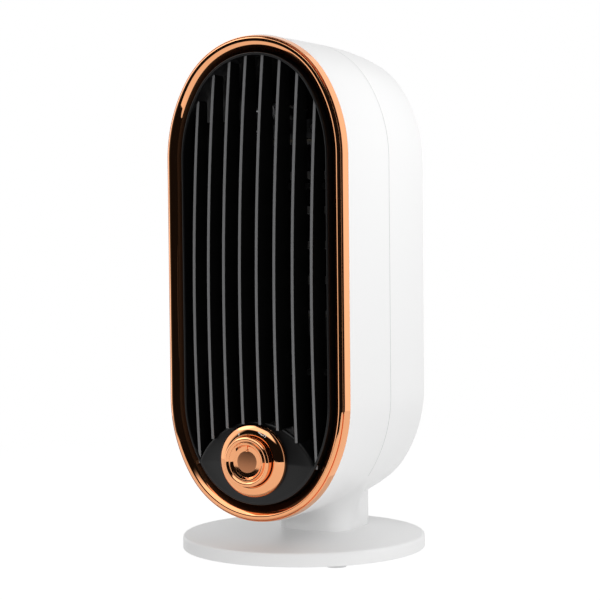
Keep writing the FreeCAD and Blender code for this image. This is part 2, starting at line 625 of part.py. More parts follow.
def make_front_shell():
    """Front shell with its neck, its tongue, the panel's ledge, the posts and the duct's rails."""
    outside = prism("front_outside", "0", FRONT, "front_shell_depth")
    inside = prism("front_inside", "casing_wall", f"{FRONT} - cut_margin",
                   "front_shell_depth + 2 * cut_margin")
    column = neck_column("neck_outside", "0", "base_height", "neck_top")
    hollow = neck_column("neck_inside", "0 - casing_wall", "base_height - cut_margin",
                         "neck_top + cut_margin")
    neck_posts = [rod(f"neck_post_{i}", x, y, "base_height", "neck_post_radius", "neck_post_height")
                  for i, (x, y) in enumerate(NECK_POSTS)]
    pilots = [rod(f"neck_pilot_{i}", x, y, "base_height - cut_margin", "screw_radius",
                  "neck_post_height + cut_margin - screw_gap")
              for i, (x, y) in enumerate(NECK_POSTS)]
    skin = cut("front_skin", fuse("front_solid", [outside, column]), [inside, hollow])

    tongue = cut("seam_tongue_ring",
                 prism("tongue_outside", "casing_wall / 2 + seam_gap", f"{SEAM} - cut_margin",
                       "seam_tongue + cut_margin"),
                 [prism("tongue_inside", "casing_wall", f"{SEAM} - 2 * cut_margin",
                        "seam_tongue + 3 * cut_margin"),
                  neck_column("tongue_notch", "0 - casing_wall", "0", "neck_top")])
    ledge = cut("panel_ledge",
                prism("ledge_outside", "casing_wall / 2", FLANGE_BACK, "ledge_depth"),
                [prism("ledge_inside", "casing_wall + ledge_width", f"{FLANGE_BACK} - cut_margin",
                       "ledge_depth + 2 * cut_margin")])
    rails = [box(f"duct_rail_{i}", low, f"{HEATER_BACK} + duct_wall",
                 f"{HEATER_Z} + ({height})", "casing_width / 2 - duct_plate_half_width + ledge_width",
                 "post_rib", "2 * post_radius")
             for i, (low, height) in enumerate(
                 (low, height)
                 for low in ("duct_plate_half_width - ledge_width", "0 - casing_width / 2")
                 for height in ("0 - duct_plate_height / 2", "duct_plate_height / 2 - 2 * post_radius"))]
    posts = posts_with_ribs("front_posts", f"{SEAM} - post_front_reach", "post_front_reach")
    inner_works = common("front_inner_works", fuse("front_fittings", [posts] + rails), outside_copy("front"))
    holes = [rod(f"front_pilot_{i}", x, f"{SEAM} + shell_screw_seat - shell_screw_grip - cut_margin", z,
                 "screw_radius", "shell_screw_grip + 2 * cut_margin", BACKWARDS)
             for i, (x, z) in enumerate(shell_posts())]
    whole = fuse("front_whole", [skin, tongue, ledge, inner_works] + neck_posts)
    node("front_shell", cut("front_shell", whole, pilots + holes))


def outside_copy(name):
    """The front shell's outside again, for trimming what stands inside it."""
    return prism(f"{name}_trim", "casing_wall / 2", FRONT, "front_shell_depth")


def rear_sections(inset, end):
    """Outlines of the rear shell from the seam to its rounded rear edge."""
    sections = [(inset, SEAM)]
    for step in range(ROUND_STEPS + 1):
        angle = 90 * step / ROUND_STEPS
        sections.append((f"{inset} + rear_draft + rear_round * (1 - cos({angle} deg))",
                         f"{end} - rear_round * (1 - sin({angle} deg))"))
    return sections


def make_rear_shell():
    """Rear shell with inlet slots, posts, the gland's hole and the notch for the neck."""
    outside = loft("rear_outside", rear_sections("0", REAR))
    inside = loft("rear_inside", rear_sections("casing_wall", REAR_INSIDE))
    trim = loft("rear_trim", rear_sections("casing_wall / 2", f"{REAR} - casing_wall / 2"))
    posts = common("rear_posts_trimmed",
                   posts_with_ribs("rear_posts", f"{SEAM} + seam_gap", "rear_shell_depth"), trim)
    rebate = cut("rear_rebate",
                 prism("rebate_outside", "casing_wall / 2", f"{SEAM} - cut_margin",
                       "seam_tongue + seam_gap + cut_margin"),
                 [prism("rebate_inside", "casing_wall + seam_gap", f"{SEAM} - 2 * cut_margin",
                        "seam_tongue + 3 * cut_margin")])
    walls = fuse("rear_walls", [cut("rear_skin", outside, [inside]), posts])
    seat = f"{SEAM} + shell_screw_seat"
    holes = [rod(f"rear_hole_{i}", x, f"{SEAM} - cut_margin", z, "screw_radius + screw_gap",
                 "rear_shell_depth", BACKWARDS) for i, (x, z) in enumerate(shell_posts())]
    wells = [rod(f"rear_well_{i}", x, seat, z, "screw_head_radius + screw_gap",
                 "rear_shell_depth", BACKWARDS) for i, (x, z) in enumerate(shell_posts())]
    slots = [centred_box(f"inlet_slot_{i}", "0", f"{REAR_INSIDE} - cut_margin",
                         f"{HEATER_Z} + {i - (INLET_SLOTS - 1) / 2} * slot_pitch",
                         "slot_width", "casing_wall + 2 * cut_margin", "slot_height")
             for i in range(INLET_SLOTS)]
    gland_hole = rod("gland_hole", "0", f"{REAR_INSIDE} - cut_margin", "gland_height",
                     "gland_sleeve_radius + gland_gap", "casing_wall + 2 * cut_margin", BACKWARDS)
    notch = neck_column("rear_notch", "neck_gap", "0", "neck_top + cut_margin")
    node("rear_shell", cut("rear_shell", walls, holes + wells + slots + [rebate, gland_hole, notch]))
    node("shell_screws", group("shell_screws", [
        screw(f"shell_screw_{i}", x, seat, z, "screw_head_height", "shell_screw_grip", FORWARDS)
        for i, (x, z) in enumerate(shell_posts())]))


def make_bezel():
    """Polished ring round the front: a side band, a rounded crest and a sloping inner wall."""
    crest = f"{FRONT} - bezel_reach"
    round_inset = "(bezel_band_inset + (bezel_crest_inset - bezel_band_inset) * bezel_round_across)"
    outside = loft("bezel_outside", [
        ("0", FRONT), ("bezel_band_inset", f"{FRONT} - bezel_band"),
        (round_inset, f"{FRONT} - bezel_band - (bezel_reach - bezel_band) * bezel_round_up"),
        ("bezel_crest_inset", crest)])
    skirt = prism("bezel_skirt_outside", "casing_wall + bezel_gap", f"{FRONT} - bezel_band / 2",
                  "bezel_skirt + bezel_band / 2")
    wall_cut = loft("bezel_inside", [
        ("bezel_mouth_inset - bezel_mouth_round", f"{crest} - cut_margin"), ("bezel_mouth_inset", crest),
        ("bezel_mouth_inset + (bezel_foot_inset - bezel_mouth_inset) * bezel_round_across",
         f"{FRONT} - bezel_wall_bend"),
        ("bezel_foot_inset", f"{FRONT} + bezel_skirt / 2"),
        ("bezel_foot_inset", f"{FRONT} + bezel_skirt + cut_margin")])
    node("bezel_ring", cut("bezel_ring", fuse("bezel_solid", [outside, skirt]), [wall_cut]))


def dome_sphere(name, shrink):
    """The ball whose front is the control dome's face."""
    ball = DOC.addObject("Part::Sphere", name)
    tie(ball, Radius=f"dome_radius - ({shrink})")
    return place(ball, "0", f"{DOME_TOP} + dome_radius", KNOB_Z)


def arch_rod(name, grow, overrun="cut_margin"):
    """The arch over the control dome, as a round bar that runs past the back of the panel."""
    return rod(name, "0", f"{FRONT} - grille_reach - cut_margin", f"{KNOB_Z} - arch_drop",
               f"arch_radius + ({grow})",
               f"{FLANGE_BACK} - {FRONT} + grille_reach + cut_margin + {overrun}", BACKWARDS)


def make_front_panel():
    """Black panel: a rim round the opening, a flange behind the ring and the control dome."""
    depth = f"{FLANGE_BACK} - {FRONT} + panel_rim_reach"
    rim = prism("rim_outside", "bezel_foot_inset + bezel_gap", f"{FRONT} - panel_rim_reach", depth)
    flange = prism("flange_outside", "casing_wall + panel_gap", FLANGE_FRONT, "panel_flange")
    opening = prism("panel_opening", "opening_inset", f"{FRONT} - panel_rim_reach - cut_margin",
                    f"{depth} + 2 * cut_margin")
    frame = cut("panel_frame", fuse("panel_blank", [rim, flange]), [opening])

    room = prism("dome_room", "(opening_inset + bezel_foot_inset + bezel_gap) / 2",
                 f"{FRONT} - dome_reach - cut_margin", f"{FLANGE_BACK} - {FRONT} + dome_reach + cut_margin")
    block = common("dome_block", common("dome_arch", room, arch_rod("arch_outside", "0", "0")),
                   dome_sphere("dome_face", "0"))
    hollow_room = prism("dome_hollow_room", "opening_inset + arch_wall", f"{FRONT} - dome_reach - cut_margin",
                        f"{FLANGE_BACK} - {FRONT} + dome_reach + 2 * cut_margin")
    hollow = common("dome_hollow", common("dome_hollow_arch", hollow_room,
                                          arch_rod("arch_inside", "0 - arch_wall")),
                    dome_sphere("dome_back", "dome_wall"))
    bush_hole = rod("panel_bush_hole", "0", f"{DOME_TOP} - cut_margin", KNOB_Z,
                    "switch_bush_radius + shaft_gap", "dome_wall + 3 * cut_margin", BACKWARDS)
    node("front_panel", cut("front_panel", fuse("panel_whole", [frame, block]), [hollow, bush_hole]))


def make_grille():
    """Upright blades, crowned to the front, joined by two bars behind."""
    blades = [centred_box(f"blade_{i}", f"{i - (BLADES - 1) / 2} * blade_pitch", f"{FRONT} - grille_reach",
                          MIDDLE, "blade_thickness", f"{FLANGE_BACK} - {FRONT} + grille_reach",
                          "casing_straight + 2 * casing_end_height")
              for i in range(BLADES)]
    bars = [centred_box(f"crossbar_{i}", "0", f"{FLANGE_BACK} - crossbar_depth",
                        f"{HEATER_Z} + {sign} * crossbar_spacing / 2",
                        "casing_width", "crossbar_depth", "crossbar_height")
            for i, sign in enumerate((-1, 1))]
    crown = DOC.addObject("Part::Torus", "crown")
    tie(crown, Radius1="crown_upright - crown_across", Radius2="crown_across")
    place(crown, "0", f"{FRONT} - grille_reach + crown_upright", f"{MIDDLE} - crown_drop", SIDEWAYS)
    room = prism("grille_room", "opening_inset + blade_gap", f"{FRONT} - grille_reach - cut_margin",
                 f"{FLANGE_BACK} - {FRONT} + grille_reach + cut_margin")
    space = cut("grille_space", room, [arch_rod("grille_arch", "blade_gap")])
    crowned = common("grille_crowned", fuse("grille_bars", blades + bars), crown)
    node("grille_blades", common("grille_blades", crowned, space))


# ---------------------------------------------------------------- knob and rotary switch
def make_knob():
    """Fixed collar with setting marks; the turning cap, face, pointer and shaft."""
    at_knob = {"x": "0", "y": FRONT, "z": KNOB_Z, "turn": FORWARDS}
    inside = [("switch_shaft_radius + knob_gap", "collar_reach"),
              ("switch_shaft_radius + knob_gap", "collar_reach - collar_rim"),
              ("collar_neck_radius - collar_wall", "collar_reach - collar_rim"),
              ("collar_radius - 2 * collar_wall", f"{COLLAR_SEAT} + collar_lip"),
              ("collar_radius - collar_wall", COLLAR_SEAT), ("collar_radius", COLLAR_SEAT)]
    node("knob_collar", turned("knob_collar", COLLAR_FLARE + inside, **at_knob))
    blank = turned("collar_blank", COLLAR_FLARE + [("0", "collar_reach"), ("0", "0"), ("collar_radius", "0")],
                   **at_knob)
    mark_circle = "(collar_neck_radius + (collar_radius - collar_neck_radius) * mark_across)"
    marks = [rod(f"mark_{i}", f"{mark_circle} * sin({angle} deg)",
                 f"{FRONT} - {COLLAR_SEAT} - {COLLAR_RISE} * {FLARE_SHARES[0][1]} - mark_lift",
                 f"{KNOB_Z} + {mark_circle} * cos({angle} deg)", "mark_size / 2", "mark_lift * 8", BACKWARDS)
             for i, angle in enumerate(MARK_ANGLES)]
    node("dial_marks", cut("dial_marks", group("mark_pins", marks), [blank]))

    cap_back = "(collar_reach + knob_gap)"
    face_back = "(knob_reach - knob_face_depth - knob_face_thickness)"
    shaft_tip = f"({cap_back} + knob_socket_depth)"
    node("knob_cap", turned("knob_cap", [
        ("knob_radius - knob_rear_edge", cap_back), ("knob_radius", f"{cap_back} + knob_rear_edge"),
        ("knob_radius", "knob_reach - knob_edge"),
        ("knob_radius - knob_edge / 4", "knob_reach - knob_edge / 3"),
        ("knob_radius - knob_edge", "knob_reach"),
        ("knob_ring_radius + knob_groove", "knob_reach - knob_groove / 2"),
        ("knob_ring_radius", "knob_reach - 2 * knob_groove"),
        ("knob_ring_radius - knob_groove", "knob_reach - knob_groove / 2"),
        ("knob_face_radius + knob_edge", "knob_reach - knob_groove / 2"),
        ("knob_face_radius", "knob_reach - knob_face_depth / 2"),
        ("knob_face_radius", face_back), ("0", face_back), ("0", shaft_tip),
        ("switch_shaft_radius", shaft_tip), ("switch_shaft_radius", cap_back)], **at_knob))
    node("knob_face", rod("knob_face", "0", f"{FRONT} - {face_back}", KNOB_Z, "knob_face_radius",
                          "knob_face_thickness", FORWARDS))
    pointer_top = f"({KNOB_Z} + knob_face_radius)"
    tip = rod("pointer_tip", "0", f"{FRONT} - {face_back} - knob_face_thickness",
              f"{pointer_top} - pointer_length + pointer_radius", "pointer_radius", "pointer_lift", FORWARDS)
    bar = box("pointer_bar", "0 - pointer_width / 2",
              f"{FRONT} - {face_back} - knob_face_thickness - pointer_lift",
              f"{pointer_top} - pointer_length + pointer_radius", "pointer_width", "pointer_lift",
              "pointer_length - pointer_radius - pointer_gap")
    node("knob_pointer", fuse("knob_pointer", [tip, bar]))
    node("switch_shaft", rod("switch_shaft", "0", f"{FRONT} - {shaft_tip}", KNOB_Z, "switch_shaft_radius",
                             f"{SWITCH_FRONT} + switch_depth / 2 - {FRONT} + {shaft_tip}", BACKWARDS))


def make_rotary_switch():
    """Switch body with its threaded bush, the nut and the terminals."""
    body = centred_box("switch_box", "0", SWITCH_FRONT, KNOB_Z, "switch_width", "switch_depth",
                       "switch_width")
    bush = rod("switch_bush", "0", f"{DOME_TOP} - nut_thickness", KNOB_Z, "switch_bush_radius",
               f"{SWITCH_FRONT} - {DOME_TOP} + nut_thickness + cut_margin", BACKWARDS)
    shoulder = rod("switch_shoulder", "0", f"{DOME_BACK} + shaft_gap", KNOB_Z, "nut_radius",
                   "switch_reach", BACKWARDS)
    bore = rod("switch_bore", "0", f"{DOME_TOP} - nut_thickness - cut_margin", KNOB_Z,
               "switch_shaft_radius + shaft_gap",
               f"{SWITCH_FRONT} + switch_depth / 2 + knob_gap - {DOME_TOP} + nut_thickness + cut_margin",
               BACKWARDS)
    node("switch_body", cut("switch_body", fuse("switch_solid", [body, bush, shoulder]), [bore]))
    nut = hexagon("nut_blank", "0", f"{DOME_TOP} - nut_thickness", KNOB_Z, "nut_radius", "nut_thickness",
                  BACKWARDS)
    nut_bore = rod("nut_bore", "0", f"{DOME_TOP} - nut_thickness - cut_margin", KNOB_Z,
                   "switch_bush_radius", "nut_thickness + 2 * cut_margin", BACKWARDS)
    node("switch_nut", cut("switch_nut", nut, [nut_bore]))
    node("switch_terminals", group("switch_terminals", [
        centred_box(f"switch_terminal_{i}", f"{across} * switch_width / 4", f"{SWITCH_FRONT} + switch_depth",
                    f"{KNOB_Z} + {up} * switch_width / 4", "terminal_width", "terminal_length",
                    "terminal_thickness")
        for i, (across, up) in enumerate(((-1, -1), (1, -1), (-1, 1), (1, 1)))]))


def make_tip_switch():
    """Tip-over switch in the neck: housing, terminals, sprung plunger and spring."""
    housing = box("tip_box", "0 - tip_width / 2", "tip_place - tip_length / 2", "base_height",
                  "tip_width", "tip_length", "tip_height")
    bore = rod("tip_bore", "0", "tip_place", "base_height - cut_margin", "plunger_radius + plunger_gap",
               "tip_floor + 2 * cut_margin")
    cavity = rod("tip_cavity", "0", "tip_place", CAVITY_FLOOR, "tip_cavity_radius",
                 f"{CAVITY_ROOF} - {CAVITY_FLOOR}")
    node("tip_switch_body", cut("tip_switch_body", housing, [bore, cavity]))
    node("tip_switch_terminals", group("tip_switch_terminals", [
        box(f"tip_terminal_{i}", "0 - terminal_width / 2", f"tip_place + {sign} * tip_length / 4",
            "base_height + tip_height", "terminal_width", "terminal_thickness", "terminal_length")
        for i, sign in enumerate((-1, 1))]))
    pin = rod("plunger_pin", "0", "tip_place", "0", "plunger_radius", PLUNGER_SHOULDER)
    flange = rod("plunger_flange", "0", "tip_place", PLUNGER_SHOULDER, "plunger_flange_radius",
                 "plunger_flange_height")
    stem = rod("plunger_stem", "0", "tip_place", f"{PLUNGER_SHOULDER} + plunger_flange_height",
               "plunger_stem_radius", "plunger_stem_height")
    node("tip_plunger", fuse("tip_plunger", [pin, flange, stem]))

    start = f"({PLUNGER_SHOULDER} + plunger_flange_height + spring_wire + spring_end_gap)"
    helix = DOC.addObject("Part::Helix", "spring_line")
    tie(helix, Radius="spring_radius", Pitch="spring_pitch",
        Height=f"{CAVITY_ROOF} - spring_wire - spring_end_gap - {start}")
    place(helix, "0", "tip_place", start)
    wire_end = DOC.addObject("Part::Circle", "spring_section")
    tie(wire_end, Radius="spring_wire")
    place(wire_end, "spring_radius", "tip_place", start, FORWARDS)
    spring = DOC.addObject("Part::Sweep", "tip_spring")
    spring.Sections = [wire_end]
    spring.Spine = (helix, [])
    spring.Solid = True
    spring.Frenet = True
    node("tip_spring", spring)


# ---------------------------------------------------------------- heater block
def make_heater():
    """Frame, mica, electrodes, ceramic bars and fins, with the cut-out and the fuse on top."""
    blank = centred_box("frame_blank", "0", HEATER_FRONT, HEATER_Z, FRAME_WIDTH, "heater_frame_depth",
                        FRAME_HEIGHT)
    window = centred_box("frame_window", "0", f"{HEATER_FRONT} - cut_margin", HEATER_Z,
                         f"{FRAME_WIDTH} - 2 * heater_frame_wall", "heater_frame_depth + 2 * cut_margin",
                         FRAME_INNER_HEIGHT)
    ear_places = [(x, f"{HEATER_Z} + {sign} * ({FRAME_HEIGHT} + heater_ear) / 2", sign)
                  for x in ("heater_ear_side", "0 - heater_ear_side") for sign in (-1, 1)]
    ears = [centred_box(f"heater_ear_{i}", x, f"{HEATER_BACK} - heater_frame_wall",
                        f"{z} - {sign} * cut_margin / 2", "heater_ear_width", "heater_frame_wall",
                        "heater_ear + cut_margin")
            for i, (x, z, sign) in enumerate(ear_places)]
    ear_holes = [rod(f"ear_hole_{i}", x, f"{HEATER_BACK} - heater_frame_wall - cut_margin", z,
                     "screw_radius + screw_gap", "heater_frame_wall + 2 * cut_margin", BACKWARDS)
                 for i, (x, z, sign) in enumerate(ear_places)]
    node("heater_frame", cut("heater_frame", fuse("frame_solid", [blank] + ears), [window] + ear_holes))
    node("heater_screws", group("heater_screws", [
        screw(f"heater_screw_{i}", x, f"{HEATER_BACK} - heater_frame_wall", z, "screw_head_height",
              "heater_frame_wall + duct_wall + screw_gap", BACKWARDS)
        for i, (x, z, sign) in enumerate(ear_places)]))

    floor = f"({HEATER_Z} - {BLOCK_HEIGHT} / 2)"
    layer = "(fin_bank_height + ceramic_height)"
    node("electrode_plates", group("electrode_plates", [
        box(f"electrode_{i}", "0 - element_width / 2", ELEMENT_FRONT, z, "element_width", "element_depth",
            "electrode_thickness")
        for i, z in enumerate((floor, f"{floor} + {BLOCK_HEIGHT} - electrode_thickness"))]))
    node("mica_sheets", group("mica_sheets", [
        box(f"mica_{i}", "0 - element_width / 2", ELEMENT_FRONT, z, "element_width", "element_depth",
            "mica_thickness")
        for i, z in enumerate((f"{floor} - mica_thickness", f"{floor} + {BLOCK_HEIGHT}"))]))
    node("ceramic_bars", group("ceramic_bars", [
        box(f"ceramic_{i}", "0 - element_width / 2", ELEMENT_FRONT,
            f"{floor} + electrode_thickness + fin_bank_height + {i} * {layer}",
            "element_width", "element_depth", "ceramic_height")
        for i in range(CERAMIC_BARS)]))
    node("radiator_fins", group("radiator_fins", [
        fin_bank(i, f"({floor} + electrode_thickness + {i} * {layer})") for i in range(CERAMIC_BARS + 1)]))
    roof = f"({HEATER_Z} + {FRAME_HEIGHT} / 2)"
    cutout = rod("cutout_can", "0", f"{HEATER_FRONT} + heater_frame_depth / 2", roof, "cutout_radius",
                 "cutout_height")
    blades = [box(f"cutout_blade_{i}", f"{sign} * cutout_radius / 2 - terminal_thickness / 2",
                  f"{HEATER_FRONT} + heater_frame_depth / 2 - terminal_width / 2",
                  f"{roof} + cutout_height / 2",
                  "terminal_thickness", "terminal_width", "cutout_height / 2 + terminal_length / 2")
              for i, sign in enumerate((-1, 1))]
    node("thermal_cutout", fuse("thermal_cutout", [cutout] + blades))
    fuse_z = f"{roof} + fuse_radius"
    fuse_y = f"{HEATER_FRONT} + heater_frame_depth / 2"
    can = rod("fuse_can", "0 - cutout_radius * 1.4 - fuse_length", fuse_y, fuse_z, "fuse_radius",
              "fuse_length", SIDEWAYS)
    leads = rod("fuse_leads", "0 - cutout_radius * 1.2 - fuse_length * 1.5", fuse_y, fuse_z,
                "fuse_lead_radius", "fuse_length * 1.5", SIDEWAYS)
    node("thermal_fuse", fuse("thermal_fuse", [can, leads]))


def fin_bank(index, floor):
    """One bank of aluminium fins between two thin strips."""
    strips = [box(f"fin_strip_{index}_{i}", "0 - element_width / 2", ELEMENT_FRONT, z, "element_width",
                  "element_depth", "fin_thickness")
              for i, z in enumerate((floor, f"{floor} + fin_bank_height - fin_thickness"))]
    fins = [box(f"fin_{index}_{i}", f"{i - (FINS_PER_BANK - 1) / 2} * fin_pitch - fin_thickness / 2",
                ELEMENT_FRONT, floor, "fin_thickness", "element_depth", "fin_bank_height")
            for i in range(FINS_PER_BANK)]
    return fuse(f"fin_bank_{index}", strips + fins)


# ---------------------------------------------------------------- fan and motor
def make_duct():
    """Duct: a plate that carries the heater and a tube round the fan."""
    plate = centred_box("duct_plate", "0", HEATER_BACK, HEATER_Z, "2 * duct_plate_half_width", "duct_wall",
                        "duct_plate_height")
    ring = rod("duct_tube", "0", HEATER_BACK, HEATER_Z, f"{DUCT_RADIUS} + duct_wall", "duct_depth", BACKWARDS)
    bore = rod("duct_bore", "0", f"{HEATER_BACK} - cut_margin", HEATER_Z, DUCT_RADIUS,
               "duct_depth + 2 * cut_margin", BACKWARDS)
    ear_holes = [rod(f"duct_screw_hole_{i}", x, f"{HEATER_BACK} - cut_margin",
                     f"{HEATER_Z} + {sign} * ({FRAME_HEIGHT} + heater_ear) / 2", "screw_radius",
                     "duct_wall + 2 * cut_margin", BACKWARDS)
                 for i, (x, sign) in enumerate((x, sign) for x in ("heater_ear_side", "0 - heater_ear_side")
                                               for sign in (-1, 1))]
    rim_trim = prism("duct_trim", "casing_wall + bezel_gap", HEATER_BACK, "duct_depth")
    solid = common("duct_solid", fuse("duct_blank", [plate, ring]), rim_trim)
    node("fan_duct", cut("fan_duct", solid, [bore] + ear_holes))


def make_impeller():
    """Axial impeller: a cup-shaped hub on the shaft and pitched blades."""
    body = DOC.addObject("PartDesign::Body", "fan_impeller")
    half = "fan_hub_depth / 2"
    profile = polygon(body, "hub_profile", "XZ_Plane", [
        ("fan_shaft_radius", f"{half}"), ("fan_hub_radius", f"{half}"), ("fan_hub_radius", f"0 - {half}"),
        ("fan_hub_radius - fan_hub_wall", f"0 - {half}"),
        ("fan_hub_radius - fan_hub_wall", f"{half} - fan_hub_wall"),
        ("fan_boss_radius", f"{half} - fan_hub_wall"), ("fan_boss_radius", f"0 - {half}"),
        ("fan_shaft_radius", f"0 - {half}")])
    hub = body.newObject("PartDesign::Revolution", "hub_turned")
    hub.Profile = profile
    hub.ReferenceAxis = (profile, ["V_Axis"])
    hub.Angle = 360
    lean_across, lean_along = "cos(fan_pitch_angle * 1 deg)", "sin(fan_pitch_angle * 1 deg)"
    corners = []
    for end, side in ((-1, -1), (1, -1), (1, 1), (-1, 1)):
        half_chord = f"{end} * fan_chord / 2"
        half_thickness = f"{side} * fan_blade_thickness / 2"
        corners.append((f"{half_chord} * {lean_across} - {half_thickness} * {lean_along}",
                        f"{half_chord} * {lean_along} + {half_thickness} * {lean_across}"))
    section = polygon(body, "blade_section", "YZ_Plane", corners)
    section.setExpression("AttachmentOffset.Base.z", sheet_expression("fan_hub_radius - fan_hub_wall / 2"))
    blade = body.newObject("PartDesign::Pad", "blade_pad")
    blade.Profile = section
    blade.setExpression("Length", sheet_expression("fan_reach - fan_hub_radius + fan_hub_wall / 2"))
    DOC.recompute()
    pattern = body.newObject("PartDesign::PolarPattern", "blade_pattern")
    pattern.Originals = [blade]
    pattern.Axis = (origin_feature(body, "Z_Axis"), [""])
    pattern.Angle = 360
    pattern.Occurrences = FAN_BLADES
    body.Tip = pattern
    node("fan_impeller", place(body, "0", "fan_place", HEATER_Z, FORWARDS))


def make_motor():
    """Motor with its bushes, magnets and rotor, the shaft, its clip, the bracket and the screws."""
    make_impeller()
    shaft_front = "(fan_place - shaft_front_end)"
    node("fan_shaft", rod("fan_shaft", "0", shaft_front, HEATER_Z, "fan_shaft_radius",
                          f"{MOTOR_BACK} + motor_cap_thickness + bush_length / 2 - {shaft_front}", BACKWARDS))
    node("fan_clip", tube("fan_clip", "0", "fan_place - fan_hub_depth / 2 - clip_thickness", HEATER_Z,
                          "clip_radius", "fan_shaft_radius", "clip_thickness", BACKWARDS))

    plate = rod("bracket_plate", "0", DUCT_BACK, HEATER_Z, "bracket_radius", "bracket_thickness", BACKWARDS)
    arms = [centred_box("bracket_arm_level", "0", DUCT_BACK, HEATER_Z,
                        f"2 * ({DUCT_RADIUS} + duct_wall)", "bracket_thickness", "bracket_arm_width"),
            centred_box("bracket_arm_upright", "0", DUCT_BACK, HEATER_Z,
                        "bracket_arm_width", "bracket_thickness", f"2 * ({DUCT_RADIUS} + duct_wall)")]
    holes = [rod("bracket_centre_hole", "0", f"{DUCT_BACK} - cut_margin", HEATER_Z, "bush_radius",
                 "bracket_thickness + 2 * cut_margin", BACKWARDS)]
    screw_places = ("motor_screw_side", "0 - motor_screw_side")
    holes += [rod(f"bracket_screw_hole_{i}", x, f"{DUCT_BACK} - cut_margin", HEATER_Z,
                  "screw_radius + screw_gap", "bracket_thickness + 2 * cut_margin", BACKWARDS)
              for i, x in enumerate(screw_places)]
    node("motor_bracket", cut("motor_bracket", fuse("bracket_solid", [plate] + arms), holes))
    node("motor_screws", group("motor_screws", [
        screw(f"motor_screw_{i}", x, DUCT_BACK, HEATER_Z, "screw_head_height", "motor_screw_grip", BACKWARDS)
        for i, x in enumerate(screw_places)]))

    can = rod("can_solid", "0", MOTOR_FRONT, HEATER_Z, "motor_radius", "motor_depth", BACKWARDS)
    hollow = rod("can_hollow", "0", f"{MOTOR_FRONT} + motor_wall", HEATER_Z, "motor_radius - motor_wall",
                 "motor_depth", BACKWARDS)
    nose = rod("can_nose_hole", "0", f"{MOTOR_FRONT} - cut_margin", HEATER_Z, "bush_radius",
               "motor_wall + 2 * cut_margin", BACKWARDS)
    can_screws = [rod(f"can_screw_hole_{i}", x, f"{MOTOR_FRONT} - cut_margin", HEATER_Z, "screw_radius",
                      "motor_wall + 2 * cut_margin", BACKWARDS) for i, x in enumerate(screw_places)]
    node("motor_can", cut("motor_can", can, [hollow, nose] + can_screws))
    cap = rod("cap_solid", "0", MOTOR_BACK, HEATER_Z, "motor_radius", "motor_cap_thickness", BACKWARDS)
    cap_hole = rod("cap_hole", "0", f"{MOTOR_BACK} - cut_margin", HEATER_Z, "bush_radius",
                   "motor_cap_thickness + 2 * cut_margin", BACKWARDS)
    node("motor_end_cap", cut("motor_end_cap", cap, [cap_hole]))
    bush_starts = (DUCT_BACK, f"{MOTOR_BACK} - bush_length / 2")
    node("motor_bushes", group("motor_bushes", [
        tube(f"motor_bush_{i}", "0", start, HEATER_Z, "bush_radius", "fan_shaft_radius + shaft_gap",
             "bush_length", BACKWARDS) for i, start in enumerate(bush_starts)]))

    room_middle = f"({MOTOR_FRONT} + {MOTOR_BACK}) / 2"
    magnet_outer = "motor_radius - motor_wall"
    ring = tube("magnet_ring", "0", f"{room_middle} - rotor_length / 2", HEATER_Z, magnet_outer,
                f"{magnet_outer} - magnet_thickness", "rotor_length", BACKWARDS)
    gap = centred_box("magnet_split", "0", f"{room_middle} - rotor_length / 2 - cut_margin", HEATER_Z,
                      "bracket_arm_width", "rotor_length + 2 * cut_margin", "2 * motor_radius")
    node("motor_magnets", cut("motor_magnets", ring, [gap]))
    node("motor_rotor", tube("motor_rotor", "0", f"{room_middle} - rotor_length / 2", HEATER_Z,
                             f"{magnet_outer} - magnet_thickness - rotor_gap", "fan_shaft_radius",
                             "rotor_length", BACKWARDS))


